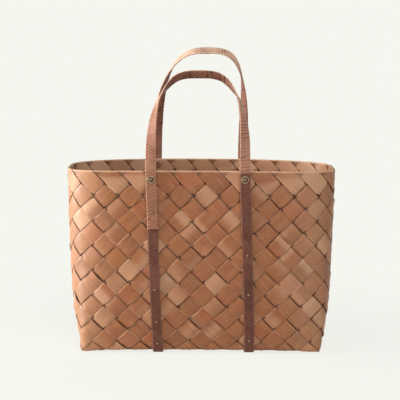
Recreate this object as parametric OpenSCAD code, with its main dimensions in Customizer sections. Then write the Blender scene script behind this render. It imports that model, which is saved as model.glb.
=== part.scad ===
// Woven bark tote basket with two leather handles.
// X runs along the basket, Y from front to back and Z up. The origin is on the
// surface that the basket stands on, under the middle of its base.

/* [Bark] */
// Pitch of the bark strips, a strip's width with the gap beside it
strip_pitch = 28; // [25:0.5:31]
// Gap between two neighbouring strips
strip_gap = 2; // [1.2:0.1:3]
// Thickness of a strip
bark_t = 0.9; // [0.6:0.1:1.2]
// Clearance between two strips that cross
bark_clear = 0.3; // [0.25:0.05:0.5]

/* [Basket] */
// Length of the rim, to the middle of the weave
rim_len = 438; // [420:1:460]
// Depth of the rim, to the middle of the weave
rim_depth = 187; // [175:1:200]
// Height of the wall, from the base to the rim
wall_h = 300; // [285:1:315]
// How square the front half of the rim is, where 2 is an ellipse
front_square = 4.8; // [3.5:0.1:6]
// How square the back half of the rim is
back_square = 2.3; // [2.1:0.1:4]
// How much of the wall's lean lies near the base, where 1 is straight
wall_round = 4; // [2:0.25:6]
// How far the weave has moved to the right at the rim
weave_shift = 8; // [0:0.5:12]

/* [Leather] */
// Width of the straps and handles
strap_w = 17; // [13:0.5:19]
// Thickness of the straps and handles
strap_t = 2.8; // [2:0.1:3.5]
// Clearance between leather and what lies next to it
leather_clear = 0.35; // [0.3:0.05:0.6]
// Place of the left strap at the base, in half cells from the middle
left_foot_cells = -3.54; // [-4:0.02:-3.2]
// Place of the right strap at the base, in half cells from the middle
right_foot_cells = 4.06; // [3.4:0.02:4.2]
// Place of the front left strap at the rim, in half cells from the middle
front_left_cells = -4; // [-4.4:0.02:-3.5]
// Place of the front right strap at the rim, in half cells from the middle
front_right_cells = 3.42; // [3:0.02:4]
// Place of the back left strap at the rim, in half cells from the middle
back_left_cells = -4.22; // [-4.6:0.02:-3.8]
// Place of the back right strap at the rim, in half cells from the middle
back_right_cells = 3.94; // [3.5:0.02:4.4]
// How far a handle's fixed end hangs down the wall from the rim
end_len = 92; // [75:1:110]

/* [Handles] */
// Height of the front handle above its bend
front_handle_h = 151; // [140:1:175]
// How far the crest of the front handle leans over the basket
front_crest_in = 50; // [45:1:62]
// How far the crest of the front handle sits to the right
front_crest_right = 2; // [0:1:15]
// Height of the back handle above its bend
back_handle_h = 187; // [165:1:205]
// How far the crest of the back handle leans over the basket
back_crest_in = 50; // [35:1:55]
// How far the crest of the back handle sits to the right
back_crest_right = 13; // [0:1:20]
// Turn of the front strap about its length at the crest, from level
front_tilt = 49; // [30:1:60]
// Turn of the back strap about its length at the crest, from level
back_tilt = 33; // [20:1:60]
// Height of the handles' bend above the rim
bend_h = 4; // [3:0.5:8]

/* [Rivets] */
// Diameter of the cap on a handle rivet
cap_d = 12; // [10:0.5:13]
// Height of the cap on a handle rivet
cap_h = 3; // [2:0.1:4]
// Diameter of a handle rivet's post
post_d = 4; // [3:0.1:5]
// Depth of a handle rivet below the rim
cap_below_rim = 10.5; // [7:0.5:12]
// Diameter of the head of a small strap rivet
rivet_d = 5.6; // [4.5:0.1:7]
// Height of the head of a small strap rivet
rivet_h = 1.4; // [1:0.1:2]
// Diameter of a small strap rivet's shank
shank_d = 2.6; // [2:0.1:3.2]
// Diameter of the washer inside the wall
washer_d = 9; // [8:0.5:11]
// Thickness of the washer inside the wall
washer_t = 1; // [0.8:0.1:1.6]

/* [Hidden] */
// Half cells along the base, across it, up the wall and round it
base_i = 20;
base_j = 8;
rows = 15;
round_k = 2 * (base_i + base_j);
strips_each_way = (base_i + base_j) / 2;

strip_names = [for (way = ["rising", "falling"], n = [1:strips_each_way])
    str(way, "_strip_", n < 10 ? "0" : "", n)];
sides = ["front", "back"];

// The weave's lattice: half the diagonal of a cell, and the base that it gives
half_cell = strip_pitch / sqrt(2);
base_len = base_i * half_cell;
base_depth = base_j * half_cell;
row_h = wall_h / rows;
shift_k = weave_shift / half_cell;

// A cell's corners are drawn in by the gap between strips
inset_share = strip_gap / strip_pitch;

// Layers of the weave, as offsets of a strip's middle from the wall's middle
over = (bark_t + bark_clear) / 2;
flap_lift = bark_clear / 2;
flap_over = 3 * over + flap_lift;
fold_rise = bark_clear;

// Layers of the leather, as offsets of its inner face from the wall's middle
wall_seat = over + bark_t / 2 + leather_clear;
rim_seat = flap_over + bark_t / 2 + 2 * leather_clear;
layer_step = strap_t + leather_clear;
base_z = wall_seat + strap_t;
rim_z = base_z + wall_h;

// Heights along the wall in rows, where the leather changes its offset. It does
// so over the part of a row that lies between these two shares below
bend_row = rows + bend_h / row_h;
end_row = rows - end_len / row_h;
rim_fold_row = rows - 2;
step_from_share = 0.8;
step_to_share = 0.2;

// Places of the small rivets as shares of the wall's height: those of a strap
// with the handle's end on top, and those of one that covers the handle's end
cap_row = rows - cap_below_rim / row_h;
end_on_top_shares = [0.785, 0.358, 0.174, 0.052];
end_below_shares = [0.551, 0.331, 0.068];

bark_tans = [[0.72, 0.50, 0.35], [0.66, 0.45, 0.31], [0.70, 0.46, 0.30], [0.62, 0.44, 0.33]];
handle_tan = [0.69, 0.50, 0.41];
strap_brown = [0.42, 0.24, 0.20];
old_brass = [0.33, 0.29, 0.27];

function unit(v) = v / norm(v);
function mix(a, b, share) = a + (b - a) * share;
function wrap(k) = k - round_k * floor(k / round_k);
function near_zero(k) = k - round_k * round(k / round_k);
function reversed(list) = [for (n = [len(list) - 1:-1:0]) list[n]];

// A quarter of the rim as a superellipse, with the run from its middle to each
// point, so that places can be looked up by run
quarter_steps = 60;
function quarter(square) =
    let (pts = [for (n = [0:quarter_steps]) let (a = 90 * n / quarter_steps)
            [rim_len / 2 * pow(sin(a), 2 / square), rim_depth / 2 * pow(cos(a), 2 / square)]])
    [for (n = 0, run = 0; n <= quarter_steps;
          n = n + 1, run = n > quarter_steps ? run : run + norm(pts[n] - pts[n - 1]))
        [run, pts[n].x, pts[n].y]];
front_quarter = quarter(front_square);
back_quarter = quarter(back_square);
quarter_k = round_k / 4;
function quarter_run(table) = table[quarter_steps][0];
function run_table(table, col) = [for (row = table) [row[0] / quarter_run(table) * quarter_k, row[col]]];
front_x = run_table(front_quarter, 1);
front_y = run_table(front_quarter, 2);
back_x = run_table(back_quarter, 1);
back_y = run_table(back_quarter, 2);

// The rim's outline at k half cells round from the front left corner
function rim_at(k) =
    let (q = wrap(k - base_i / 2), fold = q > 2 * quarter_k ? 4 * quarter_k - q : q,
         right = q > 2 * quarter_k ? -1 : 1, at_front = fold <= quarter_k,
         u = at_front ? fold : 2 * quarter_k - fold)
    at_front ? [right * lookup(u, front_x), -lookup(u, front_y)]
             : [right * lookup(u, back_x), lookup(u, back_y)];

// The base's outline at k, and the way from it into the base
function base_at(k) =
    let (q = wrap(k), i = base_i, j = base_j)
    q <= i ? [q - i / 2, -j / 2] : q <= i + j ? [i / 2, q - i - j / 2]
    : q <= 2 * i + j ? [i / 2 - (q - i - j), j / 2] : [-i / 2, j / 2 - (q - 2 * i - j)];
function into_base(k) =
    let (q = wrap(k), i = base_i, j = base_j)
    q <= i ? [0, 1] : q <= i + j ? [-1, 0] : q <= 2 * i + j ? [0, -1] : [1, 0];

// The middle of the weave at k round and l rows up; below row 0 it is the base
function lean(l) = let (share = min(1, l / rows)) 1 - pow(1 - share, wall_round);
function weave_at(k, l) =
    let (p = l <= 0 ? (base_at(k) - into_base(k) * l) * half_cell
                    : mix(base_at(k) * half_cell, rim_at(k + shift_k), lean(l)))
    [p.x, p.y, base_z + max(0, l) * row_h];

// The corners of the cell at k, l: left, right, bottom and top
reach_share = 1 - inset_share;
function wall_corners(k, l) = [weave_at(k - reach_share, l), weave_at(k + reach_share, l),
    weave_at(k, l - reach_share), weave_at(k, l + reach_share)];

// Facet normals that point out of the basket, and the vector that moves a point
// on the crease between two facets off both by one unit
function facet(a, b, c) = unit(cross(b - a, c - a));
function crease(n, m) = (n + m) / (1 + n * m);

// A wall cell creases from bottom to top, one at the base's edge from left to
// right, and the half cell at the rim is one facet
function wall_cell(k, l, off) =
    let (c = wall_corners(k, l), n = facet(c[2], c[3], c[0]), m = facet(c[2], c[1], c[3]), e = crease(n, m))
    [c[0] + n * off, c[1] + m * off, c[2] + e * off, c[3] + e * off];
function edge_cell(k, off) =
    let (c = wall_corners(k, 0), n = facet(c[0], c[1], c[3]), m = facet(c[1], c[0], c[2]), e = crease(n, m))
    [c[0] + e * off, c[1] + e * off, c[2] + m * off, c[3] + n * off];
function rim_cell(k, off) =
    let (c = wall_corners(k, rows), n = facet(c[1], c[0], c[2]))
    [c[0] + n * off, c[1] + n * off, c[2] + n * off];
function base_cell(i, j, off) =
    let (mid = [i - base_i / 2, j - base_j / 2], z = base_z - off, r = reach_share)
    [for (step = [[-r, 0], [r, 0], [0, -r], [0, r]])
        let (p = (mid + step) * half_cell) [p.x, p.y, z]];
function cell(k, l, off) = l == 0 ? edge_cell(k, off) : wall_cell(k, l, off);

// A ring round a strip, from one side of it to the other: the outer face's two
// points and then the inner face's two
function ring(outer, inner, a, b) = [outer[a], outer[b], inner[b], inner[a]];
function flipped(r) = [r[1], r[0], r[3], r[2]];
half_t = bark_t / 2;

// One strip's run up the wall from k at the base. It rises to the right or the
// left, over and under, folds at the rim and comes down as a flap of one cell
function run_rings(k, to_right) =
    let (way = to_right ? 1 : -1, kt = k + way * rows, first = to_right ? [0, 2] : [2, 1],
         last = to_right ? [3, 1] : [0, 3], top = to_right ? over : -over,
         flap = to_right ? flap_over : -flap_over, up = [0, 0, fold_rise], tip = [0, 0, bark_t],
         climb = [for (l = [0:rows - 1], second = [false, true])
             let (off = ((l % 2 == 1) == to_right) ? over : -over, kc = k + way * l,
                  pair = second ? last : first)
             ring(cell(kc, l, off + half_t), cell(kc, l, off - half_t), pair[0], pair[1])],
         f = rim_cell(kt, top + half_t), g = rim_cell(kt, top - half_t),
         mid = rim_cell(kt, (top + flap) / 2),
         f2 = rim_cell(kt, flap - half_t), g2 = rim_cell(kt, flap + half_t),
         f_up = to_right ? up * 2 : up * 2 + tip, g_up = to_right ? up * 2 + tip : up * 2,
         f3 = wall_cell(kt + way, rows - 1, flap - half_t),
         g3 = wall_cell(kt + way, rows - 1, flap + half_t))
    concat(climb, [
        ring(f, g, first[0], first[1]),
        [f[0] + up, f[1] + up, g[1] + up, g[0] + up],
        [mid[0] + f_up, mid[1] + f_up, mid[1] + g_up, mid[0] + g_up],
        [f2[0] + up, f2[1] + up, g2[1] + up, g2[0] + up],
        to_right ? ring(f3, g3, 0, 3) : ring(f3, g3, 3, 1),
        to_right ? ring(f3, g3, 2, 1) : ring(f3, g3, 0, 2)]);

// Which way each stretch between two rings is cut into triangles, so that the
// strips that cross at a cell have the same facets
function run_cuts(to_right) =
    let (own = to_right ? 1 : 0)
    concat([1 - own, own], [for (l = [1:rows - 1], second = [false, true]) own],
        [1 - own, own, own, own, own]);

// A strip from rim to rim: down a wall, across the base and up another wall.
// Rings across the base follow the way in which it crosses the lattice
function strip_rings(start, base, end) =
    concat(reversed(run_rings(start[0], start[1])), base,
        [for (r = run_rings(end[0], end[1])) flipped(r)]);
function strip_cuts(start, base, end) =
    concat(reversed(run_cuts(start[1])), [0], [for (n = [0:1:len(base) - 1]) 0], run_cuts(end[1]));

// Strips are numbered from 1 to the count in each way, by the lattice line that
// they follow: rising ones from the left wall, falling ones from the front
function rising_line(n) = 2 * n - 1 - base_j;
function rising_start(c) = c > 0 ? [c, false] : [round_k + c, true];
function rising_end(c) = [2 * base_i - c, c > base_i - base_j];
function rising_base(c) =
    let (from = max(0, c), to = min(base_i, base_j + c))
    [for (i = [from + 1:1:to - 1], out = [false, true])
        let (off = i % 2 == 1 ? over : -over, p = base_cell(i, i - c, off + half_t),
             q = base_cell(i, i - c, off - half_t))
        out ? ring(p, q, 3, 1) : ring(p, q, 0, 2)];
function falling_line(n) = 2 * n - 1;
function falling_start(c) = [c, c < base_i];
function falling_end(c) = [round_k - c, c > base_j];
function falling_base(c) =
    let (from = max(0, c - base_i), to = min(base_j, c))
    [for (j = [from + 1:1:to - 1], out = [false, true])
        let (i = c - j, off = i % 2 == 0 ? over : -over, p = base_cell(i, j, off + half_t),
             q = base_cell(i, j, off - half_t))
        out ? ring(p, q, 0, 3) : ring(p, q, 2, 1)];

// A closed skin over rings of four points, with its ends closed
module skin(rings, cuts) {
    faces = [for (n = [0:len(rings) - 2], s = [0:3])
        let (a = 4 * n + s, b = 4 * n + (s + 1) % 4, c = b + 4, d = a + 4,
             along = s % 2 == 1 || (s == 0) == (cuts[n] == 1))
        each along ? [[a, b, c], [a, c, d]] : [[a, b, d], [b, c, d]]];
    e = 4 * (len(rings) - 1);
    polyhedron(points = [for (r = rings) each r],
        faces = concat([[0, 2, 1], [0, 3, 2]], [for (f = faces) f], [[e, e + 1, e + 2], [e, e + 2, e + 3]]));
}

// Leather straps lie on the wall in planes across X. A place on one is its side,
// its X and its row, and a strap keeps its place among the cells of the weave
function side_sign(side) = side == "front" ? -1 : 1;
function foot_cells(left) = left ? left_foot_cells : right_foot_cells;
function top_cells(side, left) = side == "front" ? (left ? front_left_cells : front_right_cells)
                                                 : (left ? back_left_cells : back_right_cells);
function rim_pitch(side) = quarter_run(side == "front" ? front_quarter : back_quarter) / quarter_k;
function pitch_at(side, l) = mix(half_cell, rim_pitch(side), lean(max(0, l)));
function strap_x(side, left, l) =
    mix(foot_cells(left), top_cells(side, left), min(1, max(0, l / rows))) * pitch_at(side, l);
function strap_k(side, x, l) =
    let (turned = shift_k * rim_pitch(side) * lean(max(0, l)), pitch = pitch_at(side, l))
    side == "front" ? base_i / 2 + (x - turned) / pitch : base_i / 2 + round_k / 2 - (x + turned) / pitch;
function wall_line(side, x, l) = let (p = weave_at(strap_k(side, x, l), l)) [x, p.y, p.z];
slope_row_share = 0.2;
least_row_share = 0.01;
function wall_along(side, x, l) =
    let (k = strap_k(side, x, l), d = slope_row_share) unit(weave_at(k + d, l) - weave_at(k - d, l));
function wall_out(side, x, l) =
    let (k = strap_k(side, x, l), low = max(least_row_share, l - slope_row_share))
    unit(cross(wall_along(side, x, l), weave_at(k, l + slope_row_share) - weave_at(k, low)));
function strap_ring(side, x, l, off) =
    let (p = wall_line(side, x, l), s = side_sign(side), n = l > rows ? [0, s, 0] : wall_out(side, x, l),
         w = (l > rows ? [-s, 0, 0] : wall_along(side, x, l)) * strap_w / 2)
    [p + n * off - w, p + n * off + w, p + n * (off + strap_t) + w, p + n * (off + strap_t) - w];

// The leather's offset from the weave: more where it lies on the rim's flaps,
// and a layer more where it lies on other leather
function step_at(l, row) =
    min(1, max(0, (l - row + step_from_share) / (step_from_share - step_to_share)));
function seat_at(l) = mix(wall_seat, rim_seat, step_at(l, rim_fold_row));
function end_on_top(side, left) = left == (side == "front");
function end_off(side, left, l) = seat_at(l) + (end_on_top(side, left) ? layer_step : 0);
function girdle_off(side, left, l) =
    seat_at(l) + (end_on_top(side, left) ? 0 : layer_step * step_at(l, end_row));
low_row_shares = [0.5, 1, 2, 3, 4, 6, 8];
below_rim_share = 0.1;
fold_from_row = rim_fold_row - step_from_share;
fold_to_row = rim_fold_row - step_to_share;
between_shares = [1 / 3, 2 / 3];
upper_rows = concat([for (share = between_shares) mix(end_row, fold_from_row, share)],
    [fold_from_row, fold_to_row, rows - 1]);
end_rows = concat([end_row], upper_rows, [rows, bend_row]);
girdle_rows = concat(low_row_shares, [end_row - step_from_share, end_row - step_to_share], upper_rows,
    [rows - below_rim_share]);

// Rivets as side, strap, row and the offset of the leather's outer face
function outer_face(side, left, l) =
    strap_t + max(girdle_off(side, left, l), l > end_row ? end_off(side, left, l) : 0);
cap_places = [for (side = sides, left = [true, false]) [side, left, cap_row]];
rivet_places = [for (side = sides, left = [true, false],
        share = end_on_top(side, left) ? end_on_top_shares : end_below_shares) [side, left, share * rows]];
cap_bore_d = post_d + 2 * leather_clear;
rivet_bore_d = shank_d + 2 * leather_clear;
bore_reach = 3 * strap_t + rim_seat;
bark_bore_faces = 12;
leather_bore_faces = 32;

// Stands its children at a rivet, with Z out of the wall from the weave's middle
module at_rivet(place) {
    x = strap_x(place[0], place[1], place[2]);
    n = wall_out(place[0], x, place[2]);
    translate(wall_line(place[0], x, place[2])) rotate([0, acos(n.z), atan2(n.y, n.x)]) children();
}
module bore(place, bore_d, faces) {
    at_rivet(place) cylinder(h = 2 * bore_reach, d = bore_d, center = true, $fn = faces);
}
module leather_bores() {
    for (place = cap_places) bore(place, cap_bore_d, leather_bore_faces);
    for (place = rivet_places) bore(place, rivet_bore_d, leather_bore_faces);
}

// Whether a strip's run passes a rivet, with its flap at the rim
bore_margin = cap_bore_d / half_cell;
function passes(run, place) =
    let (x = strap_x(place[0], place[1], place[2]), l = place[2], k = strap_k(place[0], x, l),
         way = run[1] ? 1 : -1, reach = 1 + bore_margin)
    abs(near_zero(k - way * l - run[0])) < reach
    || (l > rim_fold_row && abs(near_zero(k + way * l - run[0] - way * 2 * rows)) < reach);

module strip(start, base, end, tone) {
    color(bark_tans[tone % len(bark_tans)])
        difference() {
            skin(strip_rings(start, base, end), strip_cuts(start, base, end));
            for (place = cap_places) if (passes(start, place) || passes(end, place))
                bore(place, cap_bore_d, bark_bore_faces);
            for (place = rivet_places) if (passes(start, place) || passes(end, place))
                bore(place, rivet_bore_d, bark_bore_faces);
        }
}
module rising_strip(n) {
    c = rising_line(n);
    strip(rising_start(c), rising_base(c), rising_end(c), n);
}
module falling_strip(n) {
    c = falling_line(n);
    strip(falling_start(c), falling_base(c), falling_end(c), n + 2);
}

// A strap that holds the basket: down the front, under the base and up the back
module girdle_strap(left) {
    x = foot_cells(left) * half_cell;
    corner = [for (side = sides)
        let (n = wall_out(side, x, slope_row_share), e = crease(n, [0, 0, -1]), p = wall_line(side, x, 0),
             w = [strap_w / 2, 0, 0], s = -side_sign(side))
        [p + e * wall_seat - w * s, p + e * wall_seat + w * s,
         p + e * (wall_seat + strap_t) + w * s, p + e * (wall_seat + strap_t) - w * s]];
    front = [for (l = reversed(girdle_rows))
        strap_ring("front", strap_x("front", left, l), l, girdle_off("front", left, l))];
    back = [for (l = girdle_rows)
        flipped(strap_ring("back", strap_x("back", left, l), l, girdle_off("back", left, l)))];
    rings = concat(front, [corner[0], flipped(corner[1])], back);
    color(strap_brown) difference() {
        skin(rings, [for (r = rings) 0]);
        leather_bores();
    }
}
module left_girdle_strap() { girdle_strap(true); }
module right_girdle_strap() { girdle_strap(false); }

// The fixed end of a handle, from its bend above the rim down the wall
module handle_end(side, left) {
    rings = [for (l = end_rows) strap_ring(side, strap_x(side, left, l), l, end_off(side, left, l))];
    color(handle_tan) difference() {
        skin(rings, [for (r = rings) 0]);
        leather_bores();
    }
}
module front_left_handle_end() { handle_end("front", true); }
module front_right_handle_end() { handle_end("front", false); }
module back_left_handle_end() { handle_end("back", true); }
module back_right_handle_end() { handle_end("back", false); }

// A handle's loop: one flat strap whose legs face out of the basket and which
// turns evenly on its way up, so that its outer face is on top at the crest
loop_steps = 14;
leg_square = 3.15;
leg_spread = 1.5;
turn_spread = 0.6;
lean_late = 2;
bend_gap = 0.3;
bend_slope = 14;
right_angle = 90;
function loop_leg_y(side, left) =
    let (x = strap_x(side, left, rows), n = [0, side_sign(side), 0])
    (wall_line(side, x, rows) + n * (end_off(side, left, rows) + strap_t / 2)).y;
function loop_axis_y(side) = side_sign(side)
    * max([for (left = [true, false]) abs(loop_leg_y(side, left)) + strap_t / 2]);
function loop_angle(u) = right_angle * pow(1 - abs(u), leg_spread);
function loop_rise(u) = pow(sin(loop_angle(u)), 2 / leg_square);
function loop_along(u) = sign(u) * pow(cos(loop_angle(u)), 2 / leg_square);
function loop_point(side, h, lean_in, skew, u) =
    let (s = side_sign(side), up = loop_rise(u), x = loop_along(u),
         xa = strap_x(side, true, rows), xb = strap_x(side, false, rows),
         ya = loop_leg_y(side, true), yb = loop_leg_y(side, false))
    [(xa + xb) / 2 + (xb - xa) / 2 * x + skew * up * up,
     (ya + yb) / 2 + (yb - ya) / 2 * x - s * lean_in * pow(up, lean_late),
     rim_z + bend_h + h * up];

// The way that the strap's outer face looks: out of the basket, made square to
// the strap's run t, and then turned about that run towards the loop's outside
function loop_turn(u, tilt) = (right_angle + tilt) * pow(loop_angle(u) / right_angle, turn_spread);
function loop_out(side, t, turn) =
    let (s = side_sign(side), flat = unit([0, s, 0] - t * (t.y * s)), over_top = cross(t, flat) * s)
    flat * cos(turn) + over_top * sin(turn);
module handle_loop(side, h, lean_in, skew, tilt) {
    places = [for (n = [-loop_steps:loop_steps]) n / loop_steps];
    mids = [for (u = places) loop_point(side, h, lean_in, skew, u)];
    last = len(places) - 1;
    axis_y = loop_axis_y(side);
    low = rim_z + bend_h + bend_gap;
    rings = [for (n = [0:last])
        let (end = n == 0 || n == last,
             t = n == 0 ? [0, 0, 1] : n == last ? [0, 0, -1] : unit(mids[n + 1] - mids[n - 1]),
             out = loop_out(side, t, loop_turn(places[n], tilt)), thick = out * strap_t / 2,
             across = cross(t, out) * strap_w / 2,
             r = [mids[n] - thick - across, mids[n] - thick + across,
                  mids[n] + thick + across, mids[n] + thick - across])
        end ? [for (p = r) [p.x, p.y, low + abs(p.y - axis_y) * tan(bend_slope)]] : r];
    color(handle_tan) skin(rings, [for (r = rings) 0]);
}
module front_handle_loop() {
    handle_loop("front", front_handle_h, front_crest_in, front_crest_right, front_tilt);
}
module back_handle_loop() {
    handle_loop("back", back_handle_h, back_crest_in, back_crest_right, back_tilt);
}

// A turned piece from a profile of radius and height, from the axis out
turned_faces = 48;
dome_step = 15;
module turned(profile) {
    rotate_extrude($fn = turned_faces) polygon(profile);
}
rivet_gap = 0.15;
inner_face = flap_over + bark_t / 2 + leather_clear;
post_flange_t = 1.2;
cap_wall = 0.8;
rim_of_dome_share = 0.3;
function head_seat(place) = outer_face(place[0], place[1], place[2]) + rivet_gap;
function dome(r, face, h) =
    [for (a = [0:dome_step:90]) [r * cos(a), face + h * mix(rim_of_dome_share, 1, sin(a))]];

// Handle rivets: a post with a flange inside the basket and a domed cap outside
module handle_rivet_caps() {
    color(old_brass) for (place = cap_places) at_rivet(place)
        let (face = head_seat(place), r = cap_d / 2, hole = post_d / 2, post_top = face + cap_h - cap_wall)
        turned(concat([[0, post_top], [hole, post_top], [hole, face], [r, face]], dome(r, face, cap_h)));
}
module handle_rivet_posts() {
    color(old_brass) for (place = cap_places) at_rivet(place)
        let (post_top = head_seat(place) + cap_h - cap_wall, r = post_d / 2, flange = cap_d / 2,
             seat = -inner_face, foot = seat - post_flange_t)
        turned([[0, foot], [flange, foot], [flange, seat], [r, seat], [r, post_top], [0, post_top]]);
}

// Small strap rivets: a low domed head, and a shank that reaches its washer
function inner_seat(l) = (l > rim_fold_row ? flap_over : over) + bark_t / 2 + leather_clear;
module strap_rivets() {
    color(old_brass) for (place = rivet_places) at_rivet(place)
        let (face = head_seat(place), r = rivet_d / 2, shank = shank_d / 2,
             foot = -inner_seat(place[2]) - washer_t)
        turned(concat([[0, foot], [shank, foot], [shank, face], [r, face]], dome(r, face, rivet_h)));
}
module strap_rivet_washers() {
    color(old_brass) for (place = rivet_places) at_rivet(place)
        let (seat = -inner_seat(place[2]), r = washer_d / 2, hole = shank_d / 2)
        turned([[hole, seat - washer_t], [r, seat - washer_t], [r, seat], [hole, seat]]);
}

for (n = [1:strips_each_way]) {
    rising_strip(n);
    falling_strip(n);
}
left_girdle_strap();
right_girdle_strap();
front_left_handle_end();
front_right_handle_end();
back_left_handle_end();
back_right_handle_end();
front_handle_loop();
back_handle_loop();
handle_rivet_caps();
handle_rivet_posts();
strap_rivets();
strap_rivet_washers();
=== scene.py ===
"""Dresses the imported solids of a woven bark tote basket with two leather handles."""

import math

import bpy
import numpy as np
from mathutils import Matrix, Vector


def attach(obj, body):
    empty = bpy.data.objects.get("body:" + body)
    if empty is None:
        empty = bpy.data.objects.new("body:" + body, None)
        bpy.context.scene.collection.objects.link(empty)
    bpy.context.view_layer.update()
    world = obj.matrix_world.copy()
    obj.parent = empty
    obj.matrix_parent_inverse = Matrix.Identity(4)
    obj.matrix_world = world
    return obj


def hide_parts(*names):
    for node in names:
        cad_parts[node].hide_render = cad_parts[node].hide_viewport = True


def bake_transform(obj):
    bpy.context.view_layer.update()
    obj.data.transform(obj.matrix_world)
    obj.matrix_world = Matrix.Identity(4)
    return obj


bl_info = {
    "name": "Woven Bark Tote Basket",
    "version": (1, 0, 0),
    "blender": (4, 5, 0),
    "location": "3D View > Sidebar > Basket",
    "description": "Builds a plaited bark basket with riveted leather straps and handles",
    "category": "Add Mesh",
}

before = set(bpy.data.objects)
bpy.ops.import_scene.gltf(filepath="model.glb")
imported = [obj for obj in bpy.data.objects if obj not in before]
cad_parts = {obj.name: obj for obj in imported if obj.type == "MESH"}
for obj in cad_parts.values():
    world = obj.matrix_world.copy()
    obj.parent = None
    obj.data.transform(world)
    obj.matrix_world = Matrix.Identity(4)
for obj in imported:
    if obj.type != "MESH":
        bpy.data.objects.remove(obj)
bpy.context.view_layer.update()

MM = 0.001

# The weave's lattice, in half cells: along the base, across it, up the wall and round it
BASE_I = 20
BASE_J = 8
ROWS = 15
ROUND_K = 2 * (BASE_I + BASE_J)
QUARTER_K = ROUND_K / 4
STRIPS_EACH_WAY = (BASE_I + BASE_J) // 2

# The base's corners: their k, their places in half cells, and the way in from the edge after each
CORNER_K = np.cumsum([0, BASE_I, BASE_J, BASE_I, BASE_J])
CORNERS = np.array([(-1, -1), (1, -1), (1, 1), (-1, 1), (-1, -1)]) * (BASE_I / 2, BASE_J / 2)
INWARD = np.array([(0, 1), (-1, 0), (0, -1), (1, 0)])

SIDES = ("front", "back")
SIDE_SIGN = {"front": -1, "back": 1}


def length(name, description, *millimetres):
    """A property that holds lengths in metres, given in millimetres."""
    metres = [value * MM for value in millimetres]
    return number(name, description, *metres, unit="LENGTH", precision=4)


def number(name, description, *defaults, **options):
    """A property that holds a number, or several where there are more defaults."""
    options.update(name=name, description=description)
    if len(defaults) == 1:
        return bpy.props.FloatProperty(default=defaults[0], **options)
    return bpy.props.FloatVectorProperty(size=len(defaults), default=defaults, **options)


def colour(name, description, *levels):
    """A property that holds a colour, given as red, green and blue on a screen, from 0 to 255."""
    def linear(level):
        share = level / 255
        return share / 12.92 if share <= 0.04045 else ((share + 0.055) / 1.055) ** 2.4
    return number(name, description, *map(linear, levels), 1.0, subtype="COLOR", min=0, max=1)


class WeaveSizes(bpy.types.PropertyGroup):
    """Sizes of the woven wall and base."""
    pitch: length("Strip pitch", "Width of a strip with the gap beside it", 28)
    gap: length("Gap", "Gap between two neighbouring strips", 0.4)
    trim: length("Trim", "How much narrower the strips that rise to the left are at their upper edge", 1.3)
    bark_t: length("Bark thickness", "Thickness of a strip", 0.7)
    over: length("Over", "Offset of a strip that passes over another", 0.95)
    flap_over: length("Flap", "Offset of a flap at the rim", 2.0)
    flap_tilt: length("Flap tilt", "How far a flap's edge stands over the next flap", 1.2)
    rim_len: length("Rim length", "Length of the rim", 438)
    rim_depth: length("Rim depth", "Depth of the rim", 187)
    wall_h: length("Wall height", "Height of the wall", 300)
    base_z: length("Base height", "Height of the base's middle above the ground", 4.2)
    shift: length("Shift", "How far the weave has moved to the right at the rim", 8)
    square: number("Squareness", "Superellipse powers of the rim's front and back", 4.8, 2.3)
    wall_round: number("Wall rounding", "How much of the lean lies near the base", 4)
    corner_share: number("Corner rounding", "Rounding of the base's corners in half cells", 0.35)
    edge_share: number("Edge rounding", "Rounding of the base's edge in rows", 0.22)
    drift: number("Drift", "How far the weave has moved to the left half way up, in half cells", 0.18)
    settle: length("Settling", "How much lower the rows just above the base lie", 3)
    rim_arch: length("Rim arch", "How much higher the middle of the front rim stands", 2.4)
    base_arch: length("Base arch", "How much higher the middle of the base lies", 2.2)
    corner_drop: length("Corner drop", "How much lower the ends of the base lie", 2.2)
    uneven: length("Unevenness", "Slow waves of the hand-woven wall", 0.9)
    edge_lift: length("Edge lift", "How far an edge curls up at most", 2.2)
    cup: length("Cup", "How far the middle of a cell bulges at most", 0.6)
    seed: bpy.props.IntProperty(name="Seed", description="Seed of the strips' small differences", default=11)


class BarkLooks(bpy.types.PropertyGroup):
    """Colours of the bark."""
    tan: colour("Tan", "Most of the bark", 146, 91, 50)
    rosy: colour("Rosy tan", "Rosy strips", 146, 86, 53)
    orange: colour("Orange", "The reddest stretches", 156, 84, 46)
    grey: colour("Grey brown", "The greyest stretches", 124, 76, 42)
    # The fibre colour also gives the soft painted shade beside the dives
    fibre_and_shade: colour("Fibre", "Dark lines of the grain", 98, 50, 26)
    # Painted shade along the lines where strips dive under each other
    groove: colour("Groove", "Lines where strips dive under each other", 80, 38, 20)
    # Painted shade in the crossings' corners, under the flaps and on the second layer
    deep_shade: colour("Recess", "Dark corners and holes", 50, 22, 12)
    # Also gives painted light at the walls' ends and on the inside, and a painted highlight along the rim's
    # fold
    pale: colour("Pale", "Worn edges and loose fibres", 216, 172, 138)


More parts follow.
